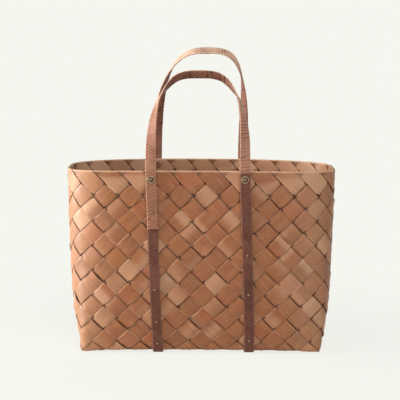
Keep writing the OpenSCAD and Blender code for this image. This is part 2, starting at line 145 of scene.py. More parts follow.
class LeatherSizes(bpy.types.PropertyGroup):
    """Sizes of the straps and handles."""
    width: length("Strap width", "Width of the straps and handles", 17)
    thick: length("Strap thickness", "Thickness of the straps and handles", 2.8)
    wall_seat: length("Wall seat", "Offset of a strap's inner face on the wall", 1.4)
    rim_seat: length("Rim seat", "Offset of a strap's inner face on the rim's flaps", 3.1)
    layer: length("Layer", "Thickness of a strap with its clearance", 3.15)
    end_len: length("End length", "How far a handle's end hangs down the wall", 92)
    bend_h: length("Bend height", "Height of the handles' bend above the rim", 4)
    feet: number("Feet", "Places of the left and right strap at the base, in half cells", -3.54, 4.06)
    front_places: number("Front places", "Places of both straps at the front rim, in half cells", -4, 3.42)
    back_places: number("Back places", "Places of both straps at the back rim, in half cells", -4.22, 3.94)
    loop_h: length("Loop heights", "Heights of the front and back handle above their bends", 151, 187)
    loop_in: length("Loop lean", "How far the front and back crest lie in over the basket", 50, 50)
    aside: length("Loop shift", "How far the front and back crest lie to the right", 2, 13)
    tilt: number("Loop tilt", "Turns of the front and back crest from level, in degrees", 49, 33)
    turn_left: number("Left turn", "How soon both loops turn on their left, 1 being evenly", 1.6, 1.6)
    turn_right: number("Right turn", "How soon both loops turn on their right", 1.6, 2.2)
    shoulder: length("Shoulders", "How much lower the shoulders of the front and back loop lie", 3.6, 0.6)
    leg_square: number("Leg squareness", "Superellipse power of the loops", 3.15)


class LeatherLooks(bpy.types.PropertyGroup):
    """Colours of the leather."""
    tan: colour("Tan", "Outer face of the handles", 160, 115, 98)
    # On the left leg this colour is painted shade
    tan_wall: colour("Tan on the wall", "Outer face of the handles' ends on the wall", 136, 86, 62)
    # The crests' colour is a painted highlight
    tan_crest_highlight: colour("Warm tan", "Outer face at the crests, worn by hands", 222, 182, 154)
    tan_dark: colour("Tan creases", "Creases of the handles", 88, 46, 34)
    dark: colour("Dark", "Outer face of the girdle straps", 84, 36, 26)
    dark_low: colour("Dark creases", "Creases of the girdle straps", 46, 19, 15)
    inside: colour("Inside", "Inner face of the handles", 142, 94, 76)
    edge: colour("Edge", "Rubbed edges", 214, 162, 130)


class MetalLooks(bpy.types.PropertyGroup):
    """Sizes and colours of the rivets."""
    cap_d: length("Cap diameter", "Diameter of a handle rivet's cap", 12)
    cap_h: length("Cap height", "Height of a handle rivet's cap", 3)
    cap_below_rim: length("Cap depth", "Depth of a handle rivet below the rim", 10.5)
    rivet_d: length("Rivet diameter", "Diameter of a strap rivet's head", 5.6)
    rivet_h: length("Rivet height", "Height of a strap rivet's head", 1.4)
    rivet_gap: length("Rivet seat", "Clearance between a head and the leather", 0.15)
    # Also the painted highlights on the domes' tops
    bright: colour("Rubbed metal", "Raised and rubbed parts", 166, 140, 116)
    inner: colour("Inner parts", "Flanges and washers inside the wall", 126, 84, 58)
    dull: colour("Tarnish", "Dark old parts", 58, 36, 26)


class StageLooks(bpy.types.PropertyGroup):
    """Camera, lamps and floor."""
    camera: length("Camera", "Place of the camera", -2.1, -1813.3, 528.5)
    camera_pitch: number("Camera pitch", "Angle of the camera below level, in degrees", 8.887)
    camera_roll: number("Camera roll", "Roll of the camera, in degrees", -0.317)
    lens: number("Lens", "Focal length on a 36 mm wide frame, in millimetres", 97.42)
    paper: colour("Paper", "Colour of the floor and backdrop", 245, 246, 239)
    lamps: number("Lamps", "Powers of the lamps on the left, at the front and above it, in watts", 104, 9, 23)
    ambient: number("Ambient", "Strength of the light from all round", 0.2)


def settings(group):
    """The scene's own values of a group of properties."""
    return getattr(bpy.context.scene, group)


def smooth_step(low, high, x):
    """A rise from 0 at low to 1 at high, level at both ends."""
    share = np.clip((x - low) / (high - low), 0, 1)
    return share * share * (3 - 2 * share)


def soft_ramp(x, reach):
    """The greater of x and 0, with the bend rounded by a parabola within reach of 0."""
    return np.where(x < -reach, 0, np.where(x > reach, x, (x + reach) ** 2 / (4 * reach)))


def hump(x, rise, fall):
    """A smooth rise from 0 to 1 over one range of x, and a fall back to 0 over a later one."""
    return smooth_step(*rise, x) * (1 - smooth_step(*fall, x))


def unit(vectors):
    """Vectors of an array scaled to length 1."""
    return vectors / np.linalg.norm(vectors, axis=-1, keepdims=True)


def mix(a, b, share):
    """The value that lies at a share of the way from a to b."""
    return a + (b - a) * share


def slow_noise(rng, x, step):
    """Random values a step apart along x, joined by smooth rises and falls."""
    table = rng.uniform(-1, 1, 512)
    place = x / step + 256
    cell = np.floor(place).astype(int)
    share = place - cell
    share = share * share * (3 - 2 * share)
    return mix(table[cell % 512], table[(cell + 1) % 512], share)


def run_along(path):
    """The length of a path up to each of its points."""
    return np.concatenate([[0], np.cumsum(np.linalg.norm(np.diff(path, axis=0), axis=1))])


def slow_waves(rng, x, *waves):
    """A sum of slow noises along x, each of a size and a step."""
    return sum(size * slow_noise(rng, x, step) for size, step in waves)


# Points of each quarter of the rim, and the reach over which the wall's slope is measured
QUARTER_POINTS = 61
SLOPE_REACH = 0.15

# Slow waves of the wall: waves round the basket, change of phase in a row, first phase and share
WAVES = ((5, 0.7, 0, 0.6), (3, -0.45, 2, 0.4))

# Rows over which the waves, the drift and the settling grow and fade
WAVE_ROWS = ((0, 3), (11, 14))
DRIFT_ROWS = ((-0.5, 3), (9, 14.5))
SETTLED_ROWS = ((0, 1), (4, 10))

# The arches: rows and depth at which the rim's grows, rows at which the base's fades, and the share of
# the way to the ends at which these drop
RIM_ARCH_ROWS = (11, 15)
RIM_ARCH_DEPTH = (20 * MM, -60 * MM)
BASE_ARCH_ROWS = (4, 0)
DROPPED_ENDS = (0.45, 1)


class Weave:
    """The middle surface of the basket, on a lattice of k half cells round and l rows up."""

    def __init__(self, sizes):
        self.sizes = sizes
        self.half_cell = sizes.pitch / math.sqrt(2)
        self.row_h = sizes.wall_h / ROWS
        self.rim_z = sizes.base_z + sizes.wall_h
        self.shift_k = sizes.shift / self.half_cell
        self.fold_radius = (sizes.flap_over - sizes.over) / 2
        self.quarters = [self.quarter(square) for square in sizes.square]

    def quarter(self, square):
        """A quarter of a superellipse by its run: x = a sin(t)^(2/p), y = b cos(t)^(2/p)."""
        t = np.radians(np.linspace(0, 90, QUARTER_POINTS))
        x = self.sizes.rim_len / 2 * np.sin(t) ** (2 / square)
        y = self.sizes.rim_depth / 2 * np.maximum(np.cos(t), 0) ** (2 / square)
        y[-1] = 0
        run = run_along(np.stack([x, y], -1))
        return run / run[-1] * QUARTER_K, x, y, run[-1] / QUARTER_K

    def rim_pitch(self, side):
        """The length of a half cell at the rim, at the front or back."""
        return self.quarters[SIDES.index(side)][3]

    def rim(self, k):
        """The rim's outline at k: four superellipse quarters, looked up by run."""
        q = np.mod(k - BASE_I / 2, ROUND_K)
        fold = np.where(q > 2 * QUARTER_K, 4 * QUARTER_K - q, q)
        right = np.where(q > 2 * QUARTER_K, -1, 1)
        front = fold <= QUARTER_K
        u = np.where(front, fold, 2 * QUARTER_K - fold)
        (front_run, front_x, front_y, _), (back_run, back_x, back_y, _) = self.quarters
        x = np.where(front, np.interp(u, front_run, front_x), np.interp(u, back_run, back_x))
        y = np.where(front, -np.interp(u, front_run, front_y), np.interp(u, back_run, back_y))
        return np.stack([right * x, y], -1)

    def outline(self, k):
        """The base's rectangle at k, in half cells from its middle."""
        q = np.mod(k, ROUND_K)
        return np.stack([np.interp(q, CORNER_K, places) for places in CORNERS.T], -1)

    def base(self, k):
        """The base's outline with its corners rounded by a short running mean."""
        reach = self.sizes.corner_share
        return (self.outline(k - reach) + 2 * self.outline(k) + self.outline(k + reach)) / 4

    def inward(self, k):
        """The way from the base's outline into the base."""
        return INWARD[np.searchsorted(CORNER_K[1:], np.mod(k, ROUND_K))]

    def lean(self, l):
        """The share of the way from the base's outline to the rim's: 1 - (1 - l / rows) ^ round."""
        return 1 - (1 - np.clip(l / ROWS, 0, 1)) ** self.sizes.wall_round

    def plain(self, k, l):
        """The wall and the edge of the base, with the bend between them rounded."""
        reach = self.sizes.edge_share
        up = soft_ramp(l, reach)
        down = soft_ramp(-l, reach)
        share = self.lean(up)[..., None]
        foot = (self.base(k) + self.inward(k) * down[..., None]) * self.half_cell
        flat = mix(foot, self.rim(k + self.shift_k), share)
        return np.concatenate([flat, (self.sizes.base_z + up * self.row_h)[..., None]], -1)

    def normal(self, k, l):
        """The way out of the basket, from differences of the plain surface over a short reach."""
        along = self.plain(k + SLOPE_REACH, l) - self.plain(k - SLOPE_REACH, l)
        up = self.plain(k, l + SLOPE_REACH) - self.plain(k, l - SLOPE_REACH)
        return unit(np.cross(along, up))

    def surface(self, k, l):
        """The middle surface with its slow waves, and its normal."""
        k, l = np.broadcast_arrays(np.asarray(k, float), np.asarray(l, float))
        out = self.normal(k, l)
        turn = 2 * math.pi * k / ROUND_K
        waves = sum(share * np.sin(times * turn + climb * l + first) for times, climb, first, share in WAVES)
        return self.plain(k, l) + out * (waves * hump(l, *WAVE_ROWS) * self.sizes.uneven)[..., None], out

    def laid(self, k, l):
        """The bark's surface: the middle surface with its weave drifted aside, its lowest rows
        settled and the middles of its front rim and base arched up."""
        aside = self.sizes.drift * hump(l, *DRIFT_ROWS)
        lower = self.sizes.settle / self.row_h * hump(l, *SETTLED_ROWS)
        points, out = self.surface(k - aside, l - lower)
        points[..., 2] += self.arch(points[..., 0], points[..., 1], l)
        return points, out

    def arch(self, x, y, l):
        """How far the bark is lifted: 1 - (x / half length)^2 at the front rim and over the base."""
        sizes = self.sizes
        span = 1 - (2 * x / sizes.rim_len) ** 2
        high = span * sizes.rim_arch * smooth_step(*RIM_ARCH_ROWS, l) * smooth_step(*RIM_ARCH_DEPTH, y)
        low = span * sizes.base_arch - smooth_step(*DROPPED_ENDS, 1 - span) * sizes.corner_drop
        return high + low * smooth_step(*BASE_ARCH_ROWS, l)


def make_object(name, points, faces, attributes, material):
    """A smooth mesh object from arrays of points, faces and attributes."""
    mesh = bpy.data.meshes.new(name)
    mesh.from_pydata(points.reshape(-1, 3).tolist(), [], faces)
    mesh.polygons.foreach_set("use_smooth", np.ones(len(mesh.polygons), bool))
    for label, values in attributes.items():
        kind = "FLOAT_VECTOR" if values.shape[-1] == 3 else "FLOAT"
        field = "vector" if kind == "FLOAT_VECTOR" else "value"
        layer = mesh.attributes.new(label, kind, "POINT")
        layer.data.foreach_set(field, values.astype(np.float32).ravel())
    mesh.materials.append(material)
    mesh.update()
    piece = bpy.data.objects.new(name, mesh)
    bpy.context.scene.collection.objects.link(piece)
    return piece


def loop_faces(rings, count, start=0):
    """Quads between rings of points, each closed round, with the first and last ring filled."""
    i, j = np.meshgrid(np.arange(rings - 1), np.arange(count), indexing="ij")
    after = (j + 1) % count
    quads = np.stack([i * count + j, i * count + after, (i + 1) * count + after, (i + 1) * count + j], -1)
    last = start + (rings - 1) * count
    ends = [[start + n for n in reversed(range(count))], [last + n for n in range(count)]]
    return (quads.reshape(-1, 4) + start).tolist() + ends


class Value:
    """A shader socket. Sums, differences and products of values add Math nodes."""

    def __init__(self, shader, socket):
        self.shader = shader
        self.socket = socket

    def math(self, operation, *others):
        """The result of a Math node on this value and others."""
        return self.shader.node("ShaderNodeMath", {"operation": operation}, dict(enumerate((self,) + others)))

    def __add__(self, other):
        return self.math("ADD", other)

    def __sub__(self, other):
        return self.math("SUBTRACT", other)

    def __rsub__(self, other):
        return self.shader.node("ShaderNodeMath", {"operation": "SUBTRACT"}, {0: other, 1: self})

    def __mul__(self, other):
        return self.math("MULTIPLY", other)

    __radd__ = __add__
    __rmul__ = __mul__


# Light Path's outputs for the rays that see the background
BACKGROUND_RAYS = ("Is Camera Ray", "Is Glossy Ray", "Is Transmission Ray")


class Shader:
    """The nodes of a material or a world, built by one method that adds any node."""

    def __init__(self, owner):
        self.owner = owner
        owner.use_nodes = True
        self.tree = owner.node_tree
        self.tree.nodes.clear()

    def node(self, kind, options=None, inputs=None, output=0):
        """Adds a node with its settings and the values or links of its sockets."""
        node = self.tree.nodes.new(kind)
        for key, value in (options or {}).items():
            setattr(node, key, value)
        for key, value in (inputs or {}).items():
            if isinstance(value, Value):
                self.tree.links.new(value.socket, node.inputs[key])
            else:
                node.inputs[key].default_value = value
        return Value(self, node.outputs[output]) if len(node.outputs) else node

    def field(self, name, output="Vector"):
        """An attribute of the mesh."""
        return self.node("ShaderNodeAttribute", {"attribute_name": name}, output=output)

    def axes(self, vector):
        """The three parts of a vector."""
        return [self.node("ShaderNodeSeparateXYZ", inputs={0: vector}, output=n) for n in range(3)]

    def vector(self, x, y, z):
        """A vector of three values."""
        return self.node("ShaderNodeCombineXYZ", inputs={0: x, 1: y, 2: z})

    def noise(self, vector, scale=1.0, detail=2, rough=0.5, distortion=0.0):
        """Noise from 0 to 1 about 0.5."""
        return self.node("ShaderNodeTexNoise", inputs={
            "Vector": vector, "Scale": scale, "Detail": detail, "Roughness": rough, "Distortion": distortion})

    def ramp(self, value, low, high, to_low=0.0, to_high=1.0):
        """A smooth rise from to_low at low to to_high at high."""
        return self.node("ShaderNodeMapRange", {"interpolation_type": "SMOOTHSTEP"}, {
            "Value": value, "From Min": low, "From Max": high, "To Min": to_low, "To Max": to_high})

    def blend(self, share, first, second):
        """Two colours mixed by a share. A Mix node's colours are its inputs 6 and 7 and its output 2."""
        first, second = [shade if isinstance(shade, Value) else tuple(shade) for shade in (first, second)]
        return self.node("ShaderNodeMix", {"data_type": "RGBA", "clamp_factor": True},
                         {0: share, 6: first, 7: second}, output=2)

    def layered(self, base, layers):
        """A colour with others laid over it, each by its own share."""
        for share, shade in layers:
            base = self.blend(share, base, shade)
        return base

    def behind(self):
        """1 for a ray that sees the background, and 0 for one that lights the object."""
        camera, glossy, through = [self.node("ShaderNodeLightPath", output=name) for name in BACKGROUND_RAYS]
        return camera.math("MAXIMUM", glossy).math("MAXIMUM", through)

    def bump(self, height, distance, strength=1.0):
        """A normal from a height in metres."""
        return self.node("ShaderNodeBump", inputs={
            "Strength": strength, "Distance": distance, "Height": height})

    def finish(self, **sockets):
        """Adds the Principled shader with the given sockets and returns the material."""
        inputs = {key.replace("_", " ").title().replace("Ior", "IOR"): value
                  for key, value in sockets.items()}
        surface = self.node("ShaderNodeBsdfPrincipled", inputs=inputs)
        self.node("ShaderNodeOutputMaterial", inputs={"Surface": surface})
        return self.owner


# Distances from a cell's boundary at which a mark on the bark starts and is full: the soft painted shade
# beside a dive, the line of painted shade along it and the dot of painted shade in a crossing's corner
SHADE_REACH = (4.5 * MM, 0)
LINE_REACH = (1.1 * MM, 0.4 * MM)
DOT_REACH = (4.6 * MM, 3 * MM)

# Shares of the way from a strip's middle line, in pitches, at which the dots of painted shade and the worn
# edges start and are full
DOT_EDGE = (0.395, 0.435)
WORN_EDGE = (0.462, 0.478)

# How strongly each mark covers the bark; the soft shade, the lines and the dots are painted shade
GRAIN_SHARE = 0.5
FINE_SHARE = 0.4
PALE_SHARE = 0.3
SHADE_SHARE = 0.2
LINE_SHARE = 0.92
DOT_SHARE = 0.9
WORN_SHARE = 0.35


def bark_material(name):
    """Dry bark: colours that drift along a strip, a fine lengthwise grain, painted shade at the dives and
    painted light.
    """
    looks = settings("basket_bark")
    s = Shader(bpy.data.materials.new(name))
    along, across, seed = s.axes(s.field("strip_place"))
    orange, grey, light = s.axes(s.field("strip_tone"))
    dive_share, shade, painted_highlight = s.axes(s.field("strip_wear"))
    cloud = s.noise(s.vector(along * 0.55, across * 0.9, seed * 5.7), scale=1.6, detail=3)
    grain = s.noise(s.vector(along * 0.35, across * 9, seed * 7.3), scale=2.2, detail=5, rough=0.62,
                    distortion=0.15)
    fine = s.noise(s.vector(along * 0.9, across * 34, seed * 3.1), scale=2.4, detail=3, rough=0.6)
    ragged = s.noise(s.vector(along * 5, across * 6, seed), scale=2.0) - 0.5

    edge = across.math("ABSOLUTE")
    to_boundary = ((along.math("FRACT") - 0.5).math("ABSOLUTE") * settings("basket_weave").pitch
                   + ragged * (1.2 * MM) - s.ramp(edge, 0.4, 0.49) * (2.2 * MM) * dive_share)
    # Painted shade: lines along the dives and dots in the crossings' corners
    line = (s.ramp(to_boundary, *LINE_REACH) * (dive_share * 0.85 + 0.15)
            * dive_share.math("GREATER_THAN", 0.02))
    dots = s.ramp(to_boundary, *DOT_REACH) * s.ramp(edge, *DOT_EDGE) * s.ramp(dive_share, 0.55, 0.75)
    worn_edge = s.ramp(edge + ragged * 0.05, *WORN_EDGE) * s.ramp(cloud, 0.4, 0.62) * WORN_SHARE

    # The light tone holds painted light besides its random paleness; the soft shade, lines, dots and shade
    # are painted shade, and the last layer is worn edges with a painted highlight along the rim's fold
    base = s.layered(s.blend(s.ramp(cloud, 0.3, 0.7), looks.tan, looks.rosy), (
        (orange, looks.orange),
        (grey, looks.grey),
        (s.ramp(grain, 0.5, 0.76) * GRAIN_SHARE, looks.fibre_and_shade),
        (s.ramp(fine, 0.5, 0.74) * FINE_SHARE, looks.fibre_and_shade),
        (s.ramp(grain, 0.5, 0.26) * PALE_SHARE, looks.pale),
        (light, looks.pale),
        (s.ramp(to_boundary, *SHADE_REACH) * SHADE_SHARE * dive_share, looks.fibre_and_shade),
        (line * LINE_SHARE, looks.groove),
        (dots * DOT_SHARE, looks.deep_shade),
        (shade, looks.deep_shade),
        (worn_edge.math("MAXIMUM", painted_highlight), looks.pale)))
    rough = s.ramp(grain, 0.3, 0.7, to_low=0.38, to_high=0.5)
    for mark in (line, dots, shade):
        rough = rough.math("MAXIMUM", mark)
    height = grain * 0.5 + fine * 0.3 + cloud * 0.6
    return s.finish(base_color=base, roughness=rough, specular_ior_level=0.4,
                    normal=s.bump(height, 0.28 * MM, 0.55))


# Shares of creases, ridges, rubbed edges and light marks on each kind of leather
LEATHER_WEAR = {"tan_leather": (0.9, 0.25, 0.32, 0.2), "dark_leather": (0.9, 0.12, 0.12, 0.5)}
FINE_CREASE_SHARE = 0.5
CLOUD_SHARE = 0.5
CRACK_SHARE = 0.8
CRACK_COLOUR = (0.02, 0.009, 0.005, 1)

# Millimetres from a strap's middle line at which its rubbed edge starts and is full
RUBBED_EDGE = (6.8, 7.8)


def leather_material(name, outer, crest_highlight, wall, low, inner):
    """Creased leather: fine cracks across the strap, a dark inner face, edges pale from rubbing and a painted
    highlight at the crests.
    """
    edge = settings("basket_leather_looks").edge
    crease_share, ridge_share, edge_share, mark_share = LEATHER_WEAR[name]
    s = Shader(bpy.data.materials.new(name))
    along, across, seed = s.axes(s.field("strap_place"))
    face, crest, on_wall = s.axes(s.field("strap_face"))
    x = across * (1 / MM)
    y = along * (1 / MM)
    crease = s.field("crease", "Fac")
    fine = s.noise(s.vector(x * 0.2, y * 1.4 + x * 0.4, seed + 4), detail=3, rough=0.6, distortion=0.35)
    cloud = s.noise(s.vector(x * 0.05, y * 0.035, seed + 9), detail=3)
    marks = s.noise(s.vector(x * 0.55, y * 1.9 + x * 0.5, seed + 6), rough=0.6)
    rub = s.noise(s.vector(x * 0.25, y * 0.5, seed + 2), detail=3, rough=0.6)
    cracks = s.noise(s.vector(x * 0.05, y * 0.2 + x * 0.05, seed + 11.3))

    near_edge = s.ramp(x.math("ABSOLUTE") + (rub - 0.5) * 4.0, *RUBBED_EDGE) * (1 - crest * 0.7)
    inner_look = s.layered(inner, (
        (s.ramp(cracks, 0.43, 0.34) * CRACK_SHARE, CRACK_COLOUR),
        (s.ramp(cloud, 0.4, 0.7) * CLOUD_SHARE, low)))
    base = s.layered(outer, (
        # Painted highlight at the crests, and the wall's colour, which on the left leg is painted shade
        (crest, crest_highlight),
        (on_wall, wall),
        (s.ramp(cloud, 0.35, 0.75) * CLOUD_SHARE, low),
        (s.ramp(crease, 0.6, 0.1) * crease_share, low),
        (s.ramp(fine, 0.45, 0.3) * (crease_share * FINE_CREASE_SHARE), low),
        (s.ramp(crease, 0.65, 1.0) * ridge_share * (1 - crest), edge),
        (s.ramp(marks, 0.57, 0.7) * mark_share, edge),
        (near_edge * edge_share, edge),
        (s.ramp(face, 0.1, -0.35), inner_look)))
    height = crease * 0.5 + fine * 0.6
    rough = s.ramp(fine, 0.3, 0.7, to_low=0.48, to_high=0.64)
    return s.finish(base_color=base, roughness=rough, specular_ior_level=0.25,
                    normal=s.bump(height, 0.6 * MM, 0.6))


def metal_material(name, low):
    """Tarnished metal: dark in its hollows, bright from rubbing where it stands proud, and with painted
    highlights on the domes.
    """
    s = Shader(bpy.data.materials.new(name))
    patches = s.noise(s.node("ShaderNodeTexCoord", output="Object"), scale=900, detail=3, rough=0.6)
    # The rubbed share also holds the painted highlights on the domes' tops
    share = s.field("rubbed", "Fac") * 0.8 + s.ramp(patches, 0.4, 0.7) * 0.3
    base = s.blend(share, low, settings("basket_metal").bright)
    rough = s.ramp(patches, 0.3, 0.7, to_low=0.34, to_high=0.5)
    return s.finish(base_color=base, metallic=0.85, roughness=rough, normal=s.bump(patches, 0.1 * MM, 0.4))


MATERIALS = {}


def material(name):
    """A material by its slot's name, made when it is first asked for."""
    leather, metal = settings("basket_leather_looks"), settings("basket_metal")
    makers = {
        "bark": (bark_material,),
        "tan_leather": (leather_material, leather.tan, leather.tan_crest_highlight, leather.tan_wall, leather.tan_dark,
                        leather.inside),
        "dark_leather": (leather_material, leather.dark, leather.dark, leather.dark, leather.dark_low,
                         leather.dark_low),
        "old_brass": (metal_material, metal.dull),
        "inner_brass": (metal_material, metal.inner),
    }
    if name not in MATERIALS:
        maker, *colours = makers[name]
        MATERIALS[name] = maker(name, *colours)
    return MATERIALS[name]


def put(piece, body, slot, *nodes):
    """Makes a piece ride on a body and stand for nodes; its slot is not used."""
    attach(piece, body)
    if nodes:
        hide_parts(*nodes)


# Strips: each is a ribbon on the weave's surface that folds over at the rim

RINGS_PER_CELL = 12
FLAP_CELLS = 1.95
ACROSS = np.array([-1, -0.97, -0.8, -0.5, 0, 0.5, 0.8, 0.97, 1])
OUTER_SHARE = np.array([0, 0.8, 1, 1, 1, 1, 1, 0.8, 0])

# Extra rings round the fold at the rim, and how far they reach in rows
FOLD_RINGS = 11
FOLD_REACH = 0.1

# Slow waves of a strip's edges and of its whole width, as sizes in pitches and steps in half cells
EDGE_WAVES = ((0.014, 0.8), (0.007, 0.23))
SIDEWAYS_WAVE = (0.014, 2.2)
LINING_STEP = 1.25

# Half cells up a wall over which the rings shear, the strip narrows a little at the rim, a flap takes its
# tilt, tucks under and gets thinner
SHEAR_RUN = ((13.4, 14.6), (15.5, 16.4))
NARROW_RUN = ((14.2, 14.9), (15.3, 16.5))
NARROWING = 0.01
TILT_RUN = (15.05, 15.5)
TUCK_RUN = (16.1, 16.62)
TUCKED = 0.82
THIN_RUN = (16.2, 16.7)
THINNED = 0.6

# Rows over which a strip keeps to its own side of the wall and over which its fold takes over, and the
# row above which its flap is tilted
SIDE_ROWS = (14.1, 14.7)
FOLD_ROWS = (14.5, 14.9)
FLAP_FOOT = 12.5

# The swell where the flaps' tips lie under a row
SWELL_ROW = 13
SWELL_REACH = 0.42
SWELL = 0.45 * MM

# How steeply a strip and its lining change sides, and where a lifted edge starts and is full
STEEPNESS = 1.3
LINING_STEEPNESS = 2.5
LIFTED_EDGE = (0.16, 0.5)
CELL_DRAWS = 64

# Each tone: its draw for a strip, the size and step of its slow noise, and the most that it may be
ORANGE = ((-0.8, 0.05), 0.95, 1.05, 0.7)
GREY = ((-0.6, 0.25), 0.75, 1.2, 0.85)
LIGHT = ((-0.4, 0.15), 0.5, 0.95, 0.32)

# Paler bark on the inside, partly its own paler face and partly painted light, and painted light at the left
# and right ends of the walls, with the X over which it changes
INNER_PALE_AND_PAINTED_LIGHT = 0.34
LEFT_PAINTED_LIGHT = 0.3
LEFT_PAINTED_LIGHT_X = (-0.13, -0.21)
RIGHT_PAINTED_LIGHT = 0.16
RIGHT_PAINTED_LIGHT_X = ((0.12, 0.18), (0.195, 0.215))

# The painted shade along the lines where strips dive: least and most darkness, its spread, and the rows above
# which there are none
DIVES = (0.2, 0.8)
DIVE_SPREAD = 0.45
DIVE_END = (13.7, 13.9)

# The painted shade under the flaps, the place past which the flaps' tips are darkened as painted shade, and
# the painted highlight along the folds
SHADE_ROWS = (14.05, 14.25)
SHADE_END = 14.9
SHADE = 0.5
TIP_RUN = 16.2
FOLD_HIGHLIGHT_FROM = 14.4
FOLD_HIGHLIGHT_WIDTH = 1.6 * MM
FOLD_HIGHLIGHT_SHARES = (0.7, 1.0)

# The thin second layer: height in rows, width and shift in pitches, thickness, share of the offset and
# width of its grain
LINING_ROWS = 14.3
LINING_WIDTH = 1.05
LINING_SHIFT = 0.1
LINING_THICK = 0.3 * MM
LINING_OFFSET = 0.45
LINING_GRAIN = 0.9

# How light the second layer is and how dark its painted shade: each its mean, the size of its slow noise and
# the least and most that it may be, and how dark the painted shade of its dives is
LINING_LIGHT = (0.05, 0.5, 0, 0.5)
LINING_SHADE = (0.55, -0.8, 0.1, 0.9)
LINING_DIVES = 0.3

# Step between two strips' seeds in the material, and from a strip's to its lining's
STRIP_SEED = 1.37
LINING_SEED = 50


def strip_runs():
    """Each strip's name, the place and way at its start and end, and its cells across the base."""
    runs = []
    for n in range(1, STRIPS_EACH_WAY + 1):
        c = 2 * n - 1 - BASE_J
        start = (c, -1) if c > 0 else (ROUND_K + c, 1)
        end = (2 * BASE_I - c, 1 if c > BASE_I - BASE_J else -1)
        runs.append((f"rising_strip_{n:02d}", start, end, min(BASE_I, BASE_J + c) - max(0, c)))
    for n in range(1, STRIPS_EACH_WAY + 1):
        c = 2 * n - 1
        start = (c, 1 if c < BASE_I else -1)
        end = (ROUND_K - c, 1 if c > BASE_J else -1)
        runs.append((f"falling_strip_{n:02d}", start, end, min(BASE_J, c) - max(0, c - BASE_I)))
    return runs


def wall_part(weave, k0, way, run, across):
    """A strip's run up a wall: its middle's points, the wall's normals, its travel and rim fold.

    The strip follows k = k0 + way s + t and l = s - way t. Near the rim the rings shear until
    they lie level, and past the rim l is mirrored and the offset turns through a half circle.
    """
    s = run + way * across * hump(run, *SHEAR_RUN)
    level = s - way * across
    radius = weave.fold_radius
    past = (level - ROWS) * weave.row_h
    arc = math.pi / 2 * radius
    turn = np.clip(past / arc, -1, 1) * math.pi / 2
    drop = radius * (1 - np.cos(turn)) + np.maximum(0, np.abs(past) - arc)
    l = np.where(level < ROWS - 1, level, ROWS - drop / weave.row_h)
    points, out = weave.laid(k0 + way * s + across, l)
    return points, out, s, level, turn


class Ribbon:
    """A strip's middle on a grid: rings along the strip, and points across each ring.

    u runs along the whole strip and s up the nearer wall, both in half cells from the base's edge, and
    level is the height in rows. way is 1 where the strip rises to the right as seen from outside and
    -1 where it rises to the left. out is the way out of the basket and turn the fold's angle.
    """

    def __init__(self, weave, run, width, reach_up, shift, rng):
        self.weave = weave
        _, (ka, way_a), (kb, way_b), cells = run
        self.u = u = self.rings(cells, reach_up)
        self.across = across = self.spread(run, width, shift, rng)
        self.points, self.out = np.zeros((2,) + across.shape + (3,))
        self.s = -u + 0 * across
        self.level = np.full(across.shape, -1.0)
        self.turn = np.full(across.shape, -math.pi / 2)
        self.way = np.where(u <= cells / 2, way_a, way_b) + 0 * across
        edge = min(1, cells / 2)
        on_first, on_second = u[:, 0] < edge, u[:, 0] > cells - edge
        for k0, way, here, up, side in ((ka, way_a, on_first, -u, -across),
                                        (kb, way_b, on_second, u - cells, across)):
            part = wall_part(weave, k0, way, up[here] + 0 * across[here], side[here])
            self.points[here], self.out[here], self.s[here], self.level[here], self.turn[here] = part
        self.lay_base(weave.outline(ka), weave.outline(kb), cells, ~(on_first | on_second))

    def rings(self, cells, reach_up):
        """The rings' places: evenly along the strip, with more at each fold if it reaches the rim."""
        count = int((2 * reach_up + cells) * RINGS_PER_CELL) + 1
        u = np.linspace(-reach_up, cells + reach_up, count)
        if reach_up > ROWS:
            fold = ROWS + np.linspace(-FOLD_REACH, FOLD_REACH, FOLD_RINGS)
            u = np.unique(np.concatenate([u, -fold, cells + fold]))
        return u[:, None]

    def spread(self, run, width, shift, rng):
        """The points' places across the strip, in pitches, with edges that wander a little."""
        u, sizes = self.u, self.weave.sizes
        _, (_, way_a), (_, way_b), cells = run
        past = np.maximum(-u, u - cells)
        ragged = [slow_waves(rng, u, *EDGE_WAVES) for _ in SIDES]
        aside = shift * slow_noise(rng, u, LINING_STEP) ** 3 + slow_waves(rng, u, SIDEWAYS_WAVE)
        for edge, way, turned in zip(ragged, (way_a, way_b), (-0.5, 0.5)):
            upper = smooth_step(cells / 2 - turned, cells / 2 + turned, u) * (past < ROWS - 1)
            edge -= sizes.trim / sizes.pitch * (way < 0) * upper
        half = (1 - sizes.gap / sizes.pitch) / 2
        reach = np.where(ACROSS < 0, half + ragged[0], half + ragged[1])
        return ACROSS * reach * width * (1 - NARROWING * hump(past, *NARROW_RUN)) + aside

    def lay_base(self, enter, leave, cells, flat):
        """Lays the rings on the base, along the line from where the strip enters it to where it leaves."""
        step = (leave - enter) / cells
        right = np.array([-step[1], step[0]])
        lattice = enter + self.u[flat][..., None] * step + self.across[flat][..., None] * right
        self.points[flat, :, :2] = lattice * self.weave.half_cell
        self.points[flat, :, 2] = self.weave.sizes.base_z + self.weave.arch(self.points[flat, :, 0], 0, 0)
        self.out[flat] = (0, 0, -1)


